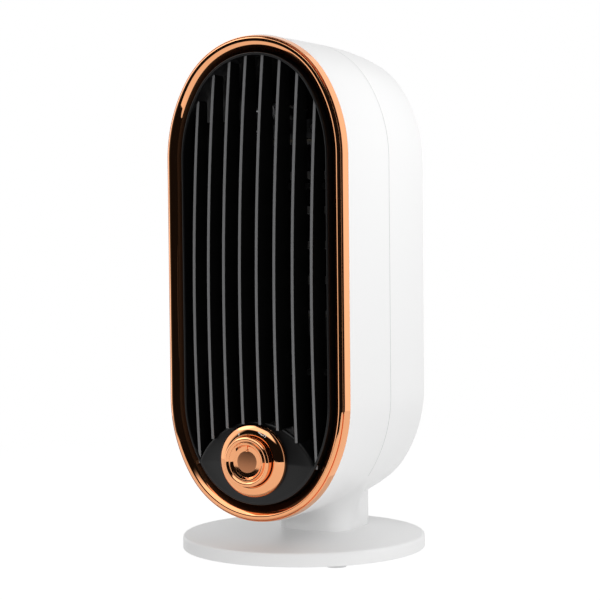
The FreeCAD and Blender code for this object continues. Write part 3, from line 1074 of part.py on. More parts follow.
# ---------------------------------------------------------------- rear fittings
def make_rear_fittings():
    """Dust filter, cable gland with its nut, and the terminal block."""
    start = f"{REAR_INSIDE} - filter_thickness"
    panel = centred_box("filter_blank", "0", start, HEATER_Z, "filter_width", "filter_thickness",
                        "filter_height")
    cell_width = f"((filter_width - 2 * filter_rim + filter_bar) / {FILTER_COLUMNS})"
    cell_height = f"((filter_height - 2 * filter_rim + filter_bar) / {FILTER_ROWS})"
    cells = [centred_box(f"filter_cell_{i}_{j}", f"{i - (FILTER_COLUMNS - 1) / 2} * {cell_width}",
                         f"{start} - cut_margin", f"{HEATER_Z} + {j - (FILTER_ROWS - 1) / 2} * {cell_height}",
                         f"{cell_width} - filter_bar", "filter_thickness + 2 * cut_margin",
                         f"{cell_height} - filter_bar")
             for i in range(FILTER_COLUMNS) for j in range(FILTER_ROWS)]
    node("dust_filter", cut("dust_filter", panel, cells))

    sleeve = rod("gland_sleeve", "0", f"{REAR} - gland_inner_reach", "gland_height", "gland_sleeve_radius",
                 "gland_inner_reach + gland_reach", BACKWARDS)
    flange = rod("gland_flange", "0", REAR, "gland_height", "gland_flange_radius", "gland_flange_thickness",
                 BACKWARDS)
    bore = rod("gland_bore", "0", f"{REAR} - gland_inner_reach - cut_margin", "gland_height",
               "gland_bore_radius", "gland_inner_reach + gland_reach + 2 * cut_margin", BACKWARDS)
    node("cable_gland", cut("cable_gland", fuse("gland_solid", [sleeve, flange]), [bore]))
    nut_thickness = "(gland_inner_reach - casing_wall)"
    nut = hexagon("gland_nut_blank", "0", f"{REAR_INSIDE} - {nut_thickness}", "gland_height",
                  "gland_nut_radius", nut_thickness, BACKWARDS)
    nut_bore = rod("gland_nut_bore", "0", f"{REAR_INSIDE} - {nut_thickness} - cut_margin", "gland_height",
                   "gland_sleeve_radius", f"{nut_thickness} + 2 * cut_margin", BACKWARDS)
    node("gland_nut", cut("gland_nut", nut, [nut_bore]))

    block = box("block_solid", "block_side", f"{REAR_INSIDE} - block_depth",
                "gland_height - block_height / 2", "block_width", "block_depth", "block_height")
    ways = [rod(f"block_way_{i}", f"block_side + {i + 0.5} * block_width / 3",
                f"{REAR_INSIDE} - block_depth - cut_margin", "gland_height", "block_width / 10",
                "block_depth / 2 + cut_margin", BACKWARDS) for i in range(3)]
    node("terminal_block", cut("terminal_block", block, ways))


def check_document():
    """Stop if an object failed, or a piece has no valid solid."""
    broken = [item.Name for item in DOC.Objects if {"Invalid", "Error"} & set(item.State)]
    for piece in NODES:
        shape = piece.Shape
        if shape.isNull() or not shape.isValid() or not shape.Solids or shape.Volume <= 0:
            broken.append(piece.Label)
    if broken:
        raise RuntimeError("failed objects: " + ", ".join(broken))


def write_parts():
    """One file for each piece."""
    os.makedirs("parts", exist_ok=True)
    for piece in NODES:
        piece.Shape.exportStep(f"parts/{piece.Label}.step")


make_base()
make_front_shell()
make_rear_shell()
make_bezel()
make_front_panel()
make_grille()
make_knob()
make_rotary_switch()
make_tip_switch()
make_heater()
make_duct()
make_motor()
make_rear_fittings()
DOC.recompute()
check_document()
write_parts()
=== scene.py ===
"""Finish of the ceramic space heater: smooth visible pieces, materials, lights and camera over the CAD frame.

Metres, +Z up, front towards -Y. Every piece is a surface worked out with numpy from the sizes below.
"""

import json
import math

import bmesh
import bpy
import numpy as np
from mathutils import Matrix, Vector


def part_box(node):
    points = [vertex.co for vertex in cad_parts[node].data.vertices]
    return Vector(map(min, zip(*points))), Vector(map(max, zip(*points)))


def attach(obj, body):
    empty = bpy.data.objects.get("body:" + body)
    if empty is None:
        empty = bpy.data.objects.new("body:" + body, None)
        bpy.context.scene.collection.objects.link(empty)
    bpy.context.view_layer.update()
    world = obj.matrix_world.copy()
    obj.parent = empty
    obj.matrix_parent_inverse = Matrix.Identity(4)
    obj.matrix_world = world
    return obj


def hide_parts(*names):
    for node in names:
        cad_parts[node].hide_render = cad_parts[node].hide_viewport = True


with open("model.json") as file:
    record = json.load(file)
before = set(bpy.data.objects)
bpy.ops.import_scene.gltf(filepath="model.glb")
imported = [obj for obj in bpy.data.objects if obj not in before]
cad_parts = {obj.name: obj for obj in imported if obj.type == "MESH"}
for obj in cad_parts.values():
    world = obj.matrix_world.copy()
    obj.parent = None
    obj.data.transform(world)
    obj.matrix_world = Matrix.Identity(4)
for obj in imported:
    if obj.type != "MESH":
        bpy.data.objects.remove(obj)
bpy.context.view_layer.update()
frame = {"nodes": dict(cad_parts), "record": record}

MM = 0.001

# ---- driving sizes, read from the frame -------------------------------------------------------

shell_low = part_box("front_shell")[0]
rear_low, rear_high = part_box("rear_shell")
ring_low, ring_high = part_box("bezel_ring")
base_low, base_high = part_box("base_cover")
collar_low, collar_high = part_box("knob_collar")
cap_low, cap_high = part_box("knob_cap")
face_low, face_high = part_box("knob_face")
pin_low, pin_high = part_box("knob_pointer")
blade_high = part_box("grille_blades")[1]
panel_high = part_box("front_panel")[1]
filter_low, filter_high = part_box("dust_filter")

HALF_WIDTH = rear_high.x
CASING_BOTTOM, CASING_TOP = rear_low.z, rear_high.z
FRONT = shell_low.y
SEAM = rear_low.y
REAR = rear_high.y
WALL = 2.2 * MM

# casing outline: straight sides, and ends of two shoulders and a crown that meet smoothly
END_HEIGHT = 60 * MM
STRAIGHT = CASING_TOP - CASING_BOTTOM - 2 * END_HEIGHT
SHOULDER_RADIUS = END_HEIGHT ** 2 / HALF_WIDTH
SHOULDER_OFFSET = SHOULDER_RADIUS - HALF_WIDTH
CROWN_RADIUS = (SHOULDER_RADIUS ** 2 - SHOULDER_OFFSET ** 2 - END_HEIGHT ** 2) / (
    2 * (SHOULDER_RADIUS - END_HEIGHT))
CROWN_OFFSET = END_HEIGHT - CROWN_RADIUS
SHOULDER_TURN = math.atan2(CROWN_OFFSET, SHOULDER_OFFSET)
CASING_STEPS = 384

# seam and rear shell
SEAM_EDGE = 0.45 * MM
SEAM_SHADE = 0.3
DRAFT = 3 * MM
REAR_ROUND = 8 * MM
VENT_HALF_WIDTH = 22 * MM
VENT_PITCH = 6.6 * MM
VENT_SLOT = 3 * MM
VENT_SLOTS = 15
VENT_MIDDLE = (filter_low.z + filter_high.z) / 2
VENT_CORNER_POWER = 14
POST_RADIUS = 4.8 * MM
WELL_RADIUS = 3 * MM
WELL_SEAT = SEAM + 14 * MM
POST_PLACES = ((27 * MM, 226 * MM), (29 * MM, 96 * MM))

# neck
NECK_HALF_WIDTH = 20 * MM
NECK_FRONT = 4 * MM
NECK_REAR = 45 * MM
NECK_CORNER = 12 * MM
NECK_FOOT = 1.6 * MM
NECK_WALL_TOP = 11.5 * MM
NECK_INSIDE_TOP = 34 * MM
FLARE_SIDE = 36 * MM
FLARE_REAR = 28 * MM
FLARE_FRONT = 13 * MM
FLARE_PULL = 1.3
NECK_STEPS = 320

# bezel ring: places are (inset from the outline, depth from the front edge of the shell)
RING_SKIRT = ring_high.y - FRONT
RING_CREST = ring_low.y - FRONT

# front panel and control dome
RIM_OUTER = 8.75 * MM
RIM_INNER = 10.1 * MM
RIM_REACH = -5 * MM
PANEL_BACK = panel_high.y - FRONT
DOME_REACH = -8.2 * MM
DOME_EDGE_REACH = -5.2 * MM
DOME_HOLE = 10 * MM
DOME_EDGE_ROUND = 1.6 * MM
ARCH_RADIUS = 35 * MM
ARCH_DROP = 16 * MM
DOME_STEPS = 288

# grille
BLADES = 8
BLADE_PITCH = 9.2 * MM
BLADE_HALF = 0.75 * MM
BLADE_NOSE = 0.4 * MM
GRILLE_REACH = -11.8 * MM
CROWN_ACROSS = 128 * MM
CROWN_UPRIGHT = 830 * MM
CROWN_DROP = 12 * MM
CASING_MIDDLE = (CASING_TOP + CASING_BOTTOM) / 2

# knob
KNOB_Z = (cap_low.z + cap_high.z) / 2
COLLAR_RADIUS = collar_high.x
CAP_RADIUS = cap_high.x
FACE_RADIUS = face_high.x
TURN_STEPS = 160


# ---- shapes -----------------------------------------------------------------------------------

def chain(start, runs, count):
    """Points and outward normals, evenly spaced along a closed line of straight runs and arcs.

    runs holds (length, radius) with radius 0 for a straight. The line starts at start with its normal
    along +first axis; within an arc the normal turns by length / radius, and the point is the arc's
    centre plus radius times the normal."""
    lengths = np.array([length for length, radius in runs])
    bends = np.array([1 / radius if radius else 0.0 for length, radius in runs])
    ends = np.concatenate([[0.0], np.cumsum(lengths)])
    turns = np.concatenate([[0.0], np.cumsum(lengths * bends)])
    corners = [np.array(start, float)]
    for run in range(len(runs)):
        corners.append(corners[-1] + reach(lengths[run], turns[run], bends[run]))
    along = np.arange(count) * ends[-1] / count
    which = np.clip(np.searchsorted(ends, along, side="right") - 1, 0, len(runs) - 1)
    local = along - ends[which]
    points = np.array(corners)[which] + reach(local, turns[which], bends[which])
    angle = turns[which] + local * bends[which]
    return points, np.stack([np.cos(angle), np.sin(angle)], -1)


def reach(length, turn, bend):
    """Step from the start of a run: along the tangent if straight, else radius times the change of normal."""
    length, turn, bend = np.broadcast_arrays(np.asarray(length, float), turn, bend)
    straight = length[..., None] * np.stack([-np.sin(turn), np.cos(turn)], -1)
    radius = 1 / np.where(bend > 0, bend, 1)
    later = turn + length * bend
    arc = radius[..., None] * np.stack([np.cos(later) - np.cos(turn), np.sin(later) - np.sin(turn)], -1)
    return np.where(bend[..., None] > 0, arc, straight)


def casing_line(count):
    """The casing's outline in X and Z: sides, shoulders of radius b*b/a and a crown tangent to both."""
    shoulder = (SHOULDER_TURN * SHOULDER_RADIUS, SHOULDER_RADIUS)
    crown = ((math.pi - 2 * SHOULDER_TURN) * CROWN_RADIUS, CROWN_RADIUS)
    half = [(STRAIGHT, 0), shoulder, crown, shoulder]
    return chain((HALF_WIDTH, CASING_BOTTOM + END_HEIGHT), half + half, count)


OUTLINE, OUTWARD = casing_line(CASING_STEPS)


def rounded(corners, steps=7):
    """Closed line through (across, along, radius) corners: each corner is the arc tangent to its sides.

    A point of the arc is its centre plus the radius times the slerp of the two tangent directions."""
    places = np.array([corner[:2] for corner in corners], float)
    line = []
    for place, before, after, corner in zip(places, np.roll(places, 1, 0), np.roll(places, -1, 0), corners):
        radius = corner[2]
        to_before = (before - place) / np.linalg.norm(before - place)
        to_after = (after - place) / np.linalg.norm(after - place)
        opening = math.acos(np.clip(to_before @ to_after, -1, 1))
        if radius == 0 or opening > math.pi - 1e-6:
            line.append(place[None])
            continue
        bisector = (to_before + to_after) / np.linalg.norm(to_before + to_after)
        centre = place + bisector * radius / math.sin(opening / 2)
        first = (place + to_before * radius / math.tan(opening / 2) - centre) / radius
        last = (place + to_after * radius / math.tan(opening / 2) - centre) / radius
        sweep = math.pi - opening
        share = np.linspace(0, 1, steps)[:, None]
        line.append(centre + radius * (np.sin((1 - share) * sweep) * first
                                       + np.sin(share * sweep) * last) / math.sin(sweep))
    return np.concatenate(line)


def swept(profile):
    """Profile carried round the casing: (inset, depth) lies inset inside the outline along its normal."""
    inset, depth = profile[:, :1], profile[:, 1:]
    x = OUTLINE[:, 0] - inset * OUTWARD[:, 0]
    z = OUTLINE[:, 1] - inset * OUTWARD[:, 1]
    return np.stack([x, np.broadcast_to(depth, x.shape), z], -1)


def turned(profile, centre=(0.0, 0.0), axis="y", count=TURN_STEPS):
    """Profile of (radius, along) turned round an axis through centre, by radius times cosine and sine."""
    angle = np.arange(count) * 2 * math.pi / count
    across = profile[:, :1] * np.cos(angle)
    up = profile[:, :1] * np.sin(angle)
    along = np.broadcast_to(profile[:, 1:], across.shape)
    if axis == "y":
        return np.stack([across + centre[0], along, centre[1] - up], -1)
    return np.stack([across + centre[0], up + centre[1], along], -1)


def bar(low, high, edge, steps=4):
    """Bar along X from low to high: its section is a rounded rectangle in Y and Z, closed at both ends."""
    section = rounded([(low[1], low[2], edge), (high[1], low[2], edge),
                       (high[1], high[2], edge), (low[1], high[2], edge)], steps)
    middle = section.mean(0)
    rows = []
    for x, shrink in ((low[0], 0), (low[0], 1), (high[0], 1), (high[0], 0)):
        place = middle + (section - middle) * shrink
        rows.append(np.column_stack([np.full(len(place), x), place]))
    return np.array(rows)


def quads(rows, columns, ring_rows, ring_columns, first):
    """Four corner numbers for each cell of a grid, wrapped in a direction that closes on itself."""
    numbers = np.arange(rows * columns).reshape(rows, columns) + first
    if ring_rows:
        numbers = np.vstack([numbers, numbers[:1]])
    if ring_columns:
        numbers = np.hstack([numbers, numbers[:, :1]])
    cells = [numbers[:-1, :-1], numbers[1:, :-1], numbers[1:, 1:], numbers[:-1, 1:]]
    return np.stack(cells, -1).reshape(-1, 4)


def mesh_of(name, grids):
    """Joins grids of points, each (points, rows close, columns close), into one mesh of outward faces."""
    points, faces, total = [], [], 0
    for grid, ring_rows, ring_columns in grids:
        rows, columns = grid.shape[:2]
        faces.append(quads(rows, columns, ring_rows, ring_columns, total))
        points.append(grid.reshape(-1, 3))
        total += rows * columns
    mesh = bpy.data.meshes.new(name)
    mesh.from_pydata(np.concatenate(points).tolist(), [], np.concatenate(faces).tolist())
    tidy = bmesh.new()
    tidy.from_mesh(mesh)
    bmesh.ops.remove_doubles(tidy, verts=tidy.verts, dist=1e-7)
    bmesh.ops.dissolve_degenerate(tidy, edges=tidy.edges, dist=1e-7)
    bmesh.ops.recalc_face_normals(tidy, faces=tidy.faces)
    tidy.to_mesh(mesh)
    tidy.free()
    return mesh


def piece(name, grids, material, body, nodes, crease=38):
    """One finished piece: its mesh, smooth but for edges sharper than crease, its material and its place."""
    made = bpy.data.objects.new(name, mesh_of(name, grids))
    bpy.context.scene.collection.objects.link(made)
    finish_piece(made, material, body, nodes, crease)
    return made


def finish_piece(made, material, body, nodes, crease):
    """Smooth faces, material and body, and hides the CAD nodes that the piece stands for."""
    made.data.polygons.foreach_set("use_smooth", [True] * len(made.data.polygons))
    made.data.set_sharp_from_angle(angle=math.radians(crease))
    made.data.materials.clear()
    made.data.materials.append(material)
    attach(made, body)
    if nodes:
        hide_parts(*nodes)


# ---- materials --------------------------------------------------------------------------------

def group_of(name, inputs, outputs):
    """Node group with float, vector or colour sockets, and its input and output nodes."""
    tree = bpy.data.node_groups.new(name, "ShaderNodeTree")
    for label, kind, value in inputs:
        socket = tree.interface.new_socket(label, in_out="INPUT", socket_type=kind)
        if value is not None:
            socket.default_value = value
    for label, kind in outputs:
        tree.interface.new_socket(label, in_out="OUTPUT", socket_type=kind)
    return tree, tree.nodes.new("NodeGroupInput"), tree.nodes.new("NodeGroupOutput")


def moulded_grain():
    """Height of a fine moulded skin, fine noise times a strength, and a broader noise as a mask."""
    tree, start, end = group_of(
        "moulded_grain",
        [("Vector", "NodeSocketVector", None), ("Scale", "NodeSocketFloat", 900.0),
         ("Strength", "NodeSocketFloat", 1.0)],
        [("Height", "NodeSocketFloat"), ("Mask", "NodeSocketFloat")])
    link = tree.links.new
    fine = tree.nodes.new("ShaderNodeTexNoise")
    fine.inputs["Detail"].default_value = 2
    link(start.outputs["Vector"], fine.inputs["Vector"])
    link(start.outputs["Scale"], fine.inputs["Scale"])
    broad = tree.nodes.new("ShaderNodeTexNoise")
    broad.inputs["Scale"].default_value = 18
    broad.inputs["Detail"].default_value = 3
    link(start.outputs["Vector"], broad.inputs["Vector"])
    scaled = tree.nodes.new("ShaderNodeMath")
    scaled.operation = "MULTIPLY"
    link(fine.outputs["Fac"], scaled.inputs[0])
    link(start.outputs["Strength"], scaled.inputs[1])
    link(scaled.outputs[0], end.inputs["Height"])
    link(broad.outputs["Fac"], end.inputs["Mask"])
    return tree


def drawn_lines():
    """Streaks of drawn or rolled metal: noise stretched along one axis, as a height and a mask."""
    tree, start, end = group_of(
        "drawn_lines",
        [("Vector", "NodeSocketVector", None), ("Stretch", "NodeSocketVector", (1.0, 1.0, 40.0)),
         ("Scale", "NodeSocketFloat", 60.0)],
        [("Height", "NodeSocketFloat"), ("Mask", "NodeSocketFloat")])
    link = tree.links.new
    stretch = tree.nodes.new("ShaderNodeVectorMath")
    stretch.operation = "MULTIPLY"
    link(start.outputs["Vector"], stretch.inputs[0])
    link(start.outputs["Stretch"], stretch.inputs[1])
    noise = tree.nodes.new("ShaderNodeTexNoise")
    noise.inputs["Detail"].default_value = 4
    link(stretch.outputs[0], noise.inputs["Vector"])
    link(start.outputs["Scale"], noise.inputs["Scale"])
    link(noise.outputs["Fac"], end.inputs["Height"])
    link(noise.outputs["Fac"], end.inputs["Mask"])
    return tree


GRAIN = moulded_grain()
LINES = drawn_lines()


def new_material(name):
    """Empty material with a Principled shader and object coordinates."""
    material = bpy.data.materials.new(name)
    material.use_nodes = True
    tree = material.node_tree
    shader = tree.nodes["Principled BSDF"]
    place = tree.nodes.new("ShaderNodeTexCoord")
    return material, tree, shader, place


def varied(tree, mask, low, high):
    """Map Range node that spreads a mask between two values."""
    spread = tree.nodes.new("ShaderNodeMapRange")
    spread.inputs["From Min"].default_value = 0.3
    spread.inputs["From Max"].default_value = 0.7
    spread.inputs["To Min"].default_value = low
    spread.inputs["To Max"].default_value = high
    tree.links.new(mask, spread.inputs["Value"])
    return spread.outputs["Result"]


def tinted(tree, mask, dark, light):
    """Colour that runs from dark to light with a mask."""
    ramp = tree.nodes.new("ShaderNodeMix")
    ramp.data_type = "RGBA"
    ramp.inputs["A"].default_value = (*dark, 1)
    ramp.inputs["B"].default_value = (*light, 1)
    tree.links.new(mask, ramp.inputs["Factor"])
    return ramp.outputs["Result"]


def moulded(name, colour, rough, grain=900.0, bump=0.02, depth=0.00002, shade=0.97, level=0.5, painted_light=None):
    """Moulded plastic, rubber, ceramic or sheet: nearly even colour, a little uneven gloss and fine grain.

    With a painted_light colour, the faces marked on the mesh take that colour instead: a flat colour painted
    in for shade or for a highlight on those faces."""
    material, tree, shader, place = new_material(name)
    skin = tree.nodes.new("ShaderNodeGroup")
    skin.node_tree = GRAIN
    skin.inputs["Scale"].default_value = grain
    tree.links.new(place.outputs["Object"], skin.inputs["Vector"])
    lift = tree.nodes.new("ShaderNodeBump")
    lift.inputs["Strength"].default_value = bump
    lift.inputs["Distance"].default_value = depth
    tree.links.new(skin.outputs["Height"], lift.inputs["Height"])
    tree.links.new(lift.outputs["Normal"], shader.inputs["Normal"])
    tree.links.new(varied(tree, skin.outputs["Mask"], rough * 0.92, rough * 1.08), shader.inputs["Roughness"])
    dark = [shade * part for part in colour]
    final = tinted(tree, skin.outputs["Mask"], dark, colour)
    # Painted light: marked faces turn to a flat colour, painted shade on the casing's inside and a painted
    # highlight on the blades' noses.
    if painted_light:
        mark = tree.nodes.new("ShaderNodeAttribute")
        mark.attribute_name = PAINTED_LIGHT_MASK
        blend = tree.nodes.new("ShaderNodeMix")
        blend.data_type = "RGBA"
        blend.inputs["B"].default_value = (*painted_light, 1)
        tree.links.new(mark.outputs["Fac"], blend.inputs["Factor"])
        tree.links.new(final, blend.inputs["A"])
        final = blend.outputs["Result"]
    tree.links.new(final, shader.inputs["Base Color"])
    shader.inputs["Specular IOR Level"].default_value = level
    return material


def metal(name, colour, rough, stretch=(1.0, 1.0, 40.0), scale=60.0, bump=0.03, shade=0.9):
    """Drawn, rolled, plated or cast metal: streaks vary its roughness, colour and height a little."""
    material, tree, shader, place = new_material(name)
    streaks = tree.nodes.new("ShaderNodeGroup")
    streaks.node_tree = LINES
    streaks.inputs["Stretch"].default_value = stretch
    streaks.inputs["Scale"].default_value = scale
    tree.links.new(place.outputs["Object"], streaks.inputs["Vector"])
    lift = tree.nodes.new("ShaderNodeBump")
    lift.inputs["Strength"].default_value = bump
    lift.inputs["Distance"].default_value = 0.00005
    tree.links.new(streaks.outputs["Height"], lift.inputs["Height"])
    tree.links.new(lift.outputs["Normal"], shader.inputs["Normal"])
    tree.links.new(varied(tree, streaks.outputs["Mask"], rough * 0.85, rough * 1.15),
                   shader.inputs["Roughness"])
    dark = [shade * part for part in colour]
    tree.links.new(tinted(tree, streaks.outputs["Mask"], dark, colour), shader.inputs["Base Color"])
    shader.inputs["Metallic"].default_value = 1
    return material


EVEN = (1.0, 1.0, 1.0)
# Face mask for painted light, from 0 to 1, read by the materials' shaders.
PAINTED_LIGHT_MASK = "painted_light"
COPPER = (0.93, 0.42, 0.2)
MATERIALS = {
    # white_plastic's near-black second colour is painted shade on the inside of the casing and the seam's
    # lips.
    "white_plastic": moulded("white_plastic", (0.9, 0.9, 0.9), 0.34, bump=0.01, shade=0.995,
                             painted_light=(0.006, 0.006, 0.006)),
    "copper_chrome": metal("copper_chrome", COPPER, 0.035, EVEN, 12.0, 0.0, 0.97),
    "face_copper": metal("face_copper", (0.5, 0.21, 0.1), 0.3, EVEN, 12.0, 0.0, 0.97),
    "black_gloss": moulded("black_gloss", (0.0022, 0.0022, 0.0025), 0.38, bump=0.0, shade=0.9, level=0.4),
    # blade_gloss's mid-grey second colour is a painted highlight along the blades' front noses.
    "blade_gloss": moulded("blade_gloss", (0.003, 0.003, 0.003), 0.4, bump=0.0, shade=0.9, level=0.3,
                           painted_light=(0.16, 0.16, 0.163)),
    "black_plastic": moulded("black_plastic", (0.02, 0.02, 0.022), 0.5, bump=0.15),
    "light_marks": moulded("light_marks", (0.85, 0.8, 0.74), 0.35),
    "pale_rubber": moulded("pale_rubber", (0.75, 0.75, 0.75), 0.7, 600.0, 0.2),
    "zinc_steel": metal("zinc_steel", (0.6, 0.61, 0.63), 0.28, EVEN, 40.0),
    "weight_steel": metal("weight_steel", (0.22, 0.22, 0.23), 0.55, EVEN, 90.0, 0.2, 0.7),
    "spring_steel": metal("spring_steel", (0.66, 0.66, 0.68), 0.25),
    # aluminium is dark grey rather than bare metal: painted shade for the parts inside the casing.
    "aluminium": metal("aluminium", (0.2, 0.2, 0.205), 0.5, (1.0, 30.0, 1.0)),
    "ceramic": moulded("ceramic", (0.05, 0.048, 0.046), 0.8, 500.0, 0.3, shade=0.85),
    "mica": moulded("mica", (0.1, 0.09, 0.07), 0.6, 120.0, 0.1, shade=0.8),
    "brass": metal("brass", (0.8, 0.6, 0.28), 0.25, (30.0, 1.0, 1.0)),
    "amber_plastic": moulded("amber_plastic", (0.3, 0.1, 0.04), 0.22, shade=0.85),
    "grey_plastic": moulded("grey_plastic", (0.02, 0.02, 0.021), 0.6, bump=0.1),
    "fan_plastic": moulded("fan_plastic", (0.07, 0.07, 0.075), 0.4, bump=0.05),
    "bronze": metal("bronze", (0.5, 0.33, 0.18), 0.4, EVEN, 200.0, 0.1, 0.75),
    "magnet": moulded("magnet", (0.07, 0.07, 0.075), 0.6, 300.0, 0.2),
}


def finish_cad_nodes():
    """Gives each CAD node the finish of its slot, for what shows through the grille and the vents."""
    for part in frame["record"]["subparts"]:
        node = frame["nodes"][part["node"]]
        node.data.materials.clear()
        node.data.materials.append(MATERIALS[part["material_slot"]])


# ---- casing and base --------------------------------------------------------------------------

def smooth(share):
    """Smooth step 3 t^2 - 2 t^3."""
    return share ** 2 * (3 - 2 * share)


def neck_grid():
    """Neck: a rounded rectangle carried up from the base, then a flare that runs into the shell.

    Rows go up. The flare's upper line follows the shell's underside: from the neck's side it swings out
    by smooth(w), then round the front on an ellipse. Each strand is a Hermite curve from the upright
    wall to that line, tangent to the shell."""
    depth = NECK_REAR - NECK_FRONT
    quarter = math.pi / 2 * NECK_CORNER
    straight, width = depth - 2 * NECK_CORNER, 2 * (NECK_HALF_WIDTH - NECK_CORNER)
    plan, normal = chain((NECK_HALF_WIDTH, NECK_FRONT + NECK_CORNER),
                         [(straight, 0), (quarter, NECK_CORNER), (width, 0), (quarter, NECK_CORNER)] * 2,
                         NECK_STEPS)
    side = np.sign(plan[:, 0])
    bend = np.arccos(np.clip(-normal[:, 1], -1, 1)) * NECK_CORNER
    to_side = np.where(np.abs(plan[:, 0]) < NECK_HALF_WIDTH - NECK_CORNER, np.abs(plan[:, 0]),
                       bend + NECK_HALF_WIDTH - NECK_CORNER)
    round_share = 1 - to_side / (quarter + NECK_HALF_WIDTH - NECK_CORNER)
    side_share = np.clip((FLARE_REAR - plan[:, 1]) / (FLARE_REAR - NECK_FRONT - NECK_CORNER), 0, 1)
    in_front = plan[:, 1] < NECK_FRONT + NECK_CORNER
    turn = np.clip(round_share, 0, 1) * math.pi / 2
    flare_x = np.where(in_front, FLARE_SIDE * np.cos(turn),
                       NECK_HALF_WIDTH + (FLARE_SIDE - NECK_HALF_WIDTH) * smooth(side_share))
    flare_y = np.where(in_front, SEAM - FLARE_FRONT * np.sin(turn),
                       FLARE_REAR - (FLARE_REAR - SEAM) * side_share)
    behind = plan[:, 1] > FLARE_REAR
    top = np.column_stack([np.where(behind, plan[:, 0], side * flare_x),
                           np.where(behind, plan[:, 1], flare_y)])
    fall = np.sqrt(CROWN_RADIUS ** 2 - top[:, 0] ** 2)
    top_z = CASING_BOTTOM + CROWN_RADIUS - fall
    out = top - plan
    rise = top_z - NECK_WALL_TOP
    climb = top[:, 0] / fall * out[:, 0]
    rows = []

    def row(place, z):
        rows.append(np.column_stack([place, np.broadcast_to(z, len(plan))]))

    middle = np.tile([0.0, (NECK_FRONT + NECK_REAR) / 2], (len(plan), 1))
    row(middle, base_high.z - NECK_FOOT)
    row(plan, base_high.z - NECK_FOOT)
    row(plan, base_high.z)
    for share in np.linspace(0, 1, 26):
        square, cube = share ** 2, share ** 3
        start_in, end_at, end_in = cube - 2 * square + share, 3 * square - 2 * cube, cube - square
        place = plan + (end_at + end_in * FLARE_PULL) * out
        row(place, NECK_WALL_TOP + (start_in * FLARE_PULL + end_at) * rise + end_in * FLARE_PULL * climb)
    row(plan, NECK_INSIDE_TOP)
    row(middle, NECK_INSIDE_TOP)
    return np.array(rows)


def mark_faces(made, chosen):
    """Marks each face by chosen(centre, normal), from 0 to 1: how far it takes its material's painted light
    colour.
    """
    marks = made.data.attributes.new(PAINTED_LIGHT_MASK, "FLOAT", "FACE")
    for face, mark in zip(made.data.polygons, marks.data):
        mark.value = float(chosen(face.center, face.normal))


def shell_painted_shade(centre, normal):
    """Painted shade: 1 for a face of the casing that looks into it, a little for the seam's rounded lips,
    else 0.
    """
    middle = (CASING_BOTTOM + CASING_TOP) / 2
    up = min(max(centre.z, middle - STRAIGHT / 2), middle + STRAIGHT / 2)
    outward = Vector((centre.x, 0, centre.z - up)).normalized()
    back_wall = normal.y < -0.5 and centre.y > REAR - 2 * WALL
    if (normal.dot(outward) < -0.2 or back_wall) and centre.y < REAR - WALL / 2:
        return 1
    on_lip = abs(centre.y - SEAM) < SEAM_EDGE and abs(normal.y) > 0.2 and centre.z > NECK_INSIDE_TOP
    return SEAM_SHADE if on_lip else 0


def make_front_shell():
    """Front shell: the casing's wall from its front edge to the seam, and the neck that carries it."""
    wall = rounded([(0, FRONT, 0.25 * MM), (0, SEAM, SEAM_EDGE),
                    (WALL, SEAM, 0.1 * MM), (WALL, FRONT, 0.1 * MM)])
    shell = piece("shell_front", [(swept(wall), True, True), (neck_grid(), False, True)],
                  MATERIALS["white_plastic"], "root", ["front_shell"])
    # Painted shade on the casing's inside and the seam's lips.
    mark_faces(shell, shell_painted_shade)


def vent_line(size):
    """Edge of the vent field, where rays from its middle towards the outline meet a rounded rectangle.

    The distance along a ray of direction (c, s) is ((|c|/half width)^n + (|s|/half height)^n)^(-1/n)."""
    half_height = (VENT_SLOTS - 1) / 2 * VENT_PITCH + VENT_SLOT / 2
    ray = OUTLINE - [0, VENT_MIDDLE]
    ray = ray / np.linalg.norm(ray, axis=1)[:, None]
    powers = (np.abs(ray[:, 0]) / (VENT_HALF_WIDTH + size)) ** VENT_CORNER_POWER
    powers = powers + (np.abs(ray[:, 1]) / (half_height + size)) ** VENT_CORNER_POWER
    return ray * powers[:, None] ** (-1 / VENT_CORNER_POWER) + [0, VENT_MIDDLE]


def facing_rows(edge, depth, shares, size):
    """Flat rows between an edge ring and the vent's edge: straight steps from one to the other."""
    hole = vent_line(size)
    rows = [edge + share * (hole - edge) for share in shares]
    return [np.column_stack([row[:, 0], np.full(len(row), depth), row[:, 1]]) for row in rows]


def rear_side(inset, end):
    """Profile of the rear shell's side: seam, draft, then a quarter round to the rear face."""
    turn = np.linspace(0, math.pi / 2, 12)
    bend = np.column_stack([inset + DRAFT + REAR_ROUND * (1 - np.cos(turn)),
                            end - REAR_ROUND * (1 - np.sin(turn))])
    drawn = np.linspace(0, 1, 9)[:, None]
    start = np.array([[inset, SEAM + SEAM_EDGE]])
    side = start + np.column_stack([(1 - np.sqrt(1 - drawn ** 2 * 0.75)) * 2 * DRAFT,
                                    drawn * (end - REAR_ROUND - start[0, 1])])
    return side, bend


def rear_wall_grid():
    """Rear shell: outside from the seam to the rear face and its vent hole, and back along the inside."""
    quarter = np.linspace(0, math.pi / 2, 6)
    lip = np.column_stack([SEAM_EDGE * (1 - np.sin(quarter)), SEAM + SEAM_EDGE * (1 - np.cos(quarter))])
    side, bend = rear_side(0, REAR)
    inner_side, inner_bend = rear_side(WALL, REAR - WALL)
    outside = swept(np.vstack([lip, side[1:-1], bend]))
    inside = swept(np.vstack([inner_side[:-1], inner_bend]))[::-1]
    shares = np.linspace(0, 1, 6)[1:]
    outer_edge = outside[-1][:, [0, 2]]
    inner_edge = inside[0][:, [0, 2]]
    face = facing_rows(outer_edge, REAR, shares, 0.15 * MM)
    edge = facing_rows(outer_edge, REAR - 0.3 * MM, [1], 0)
    back = facing_rows(inner_edge, REAR - WALL, shares[::-1], 0)
    close = swept(np.array([[WALL, SEAM]]))
    return np.concatenate([outside, face, edge, back, inside, close])


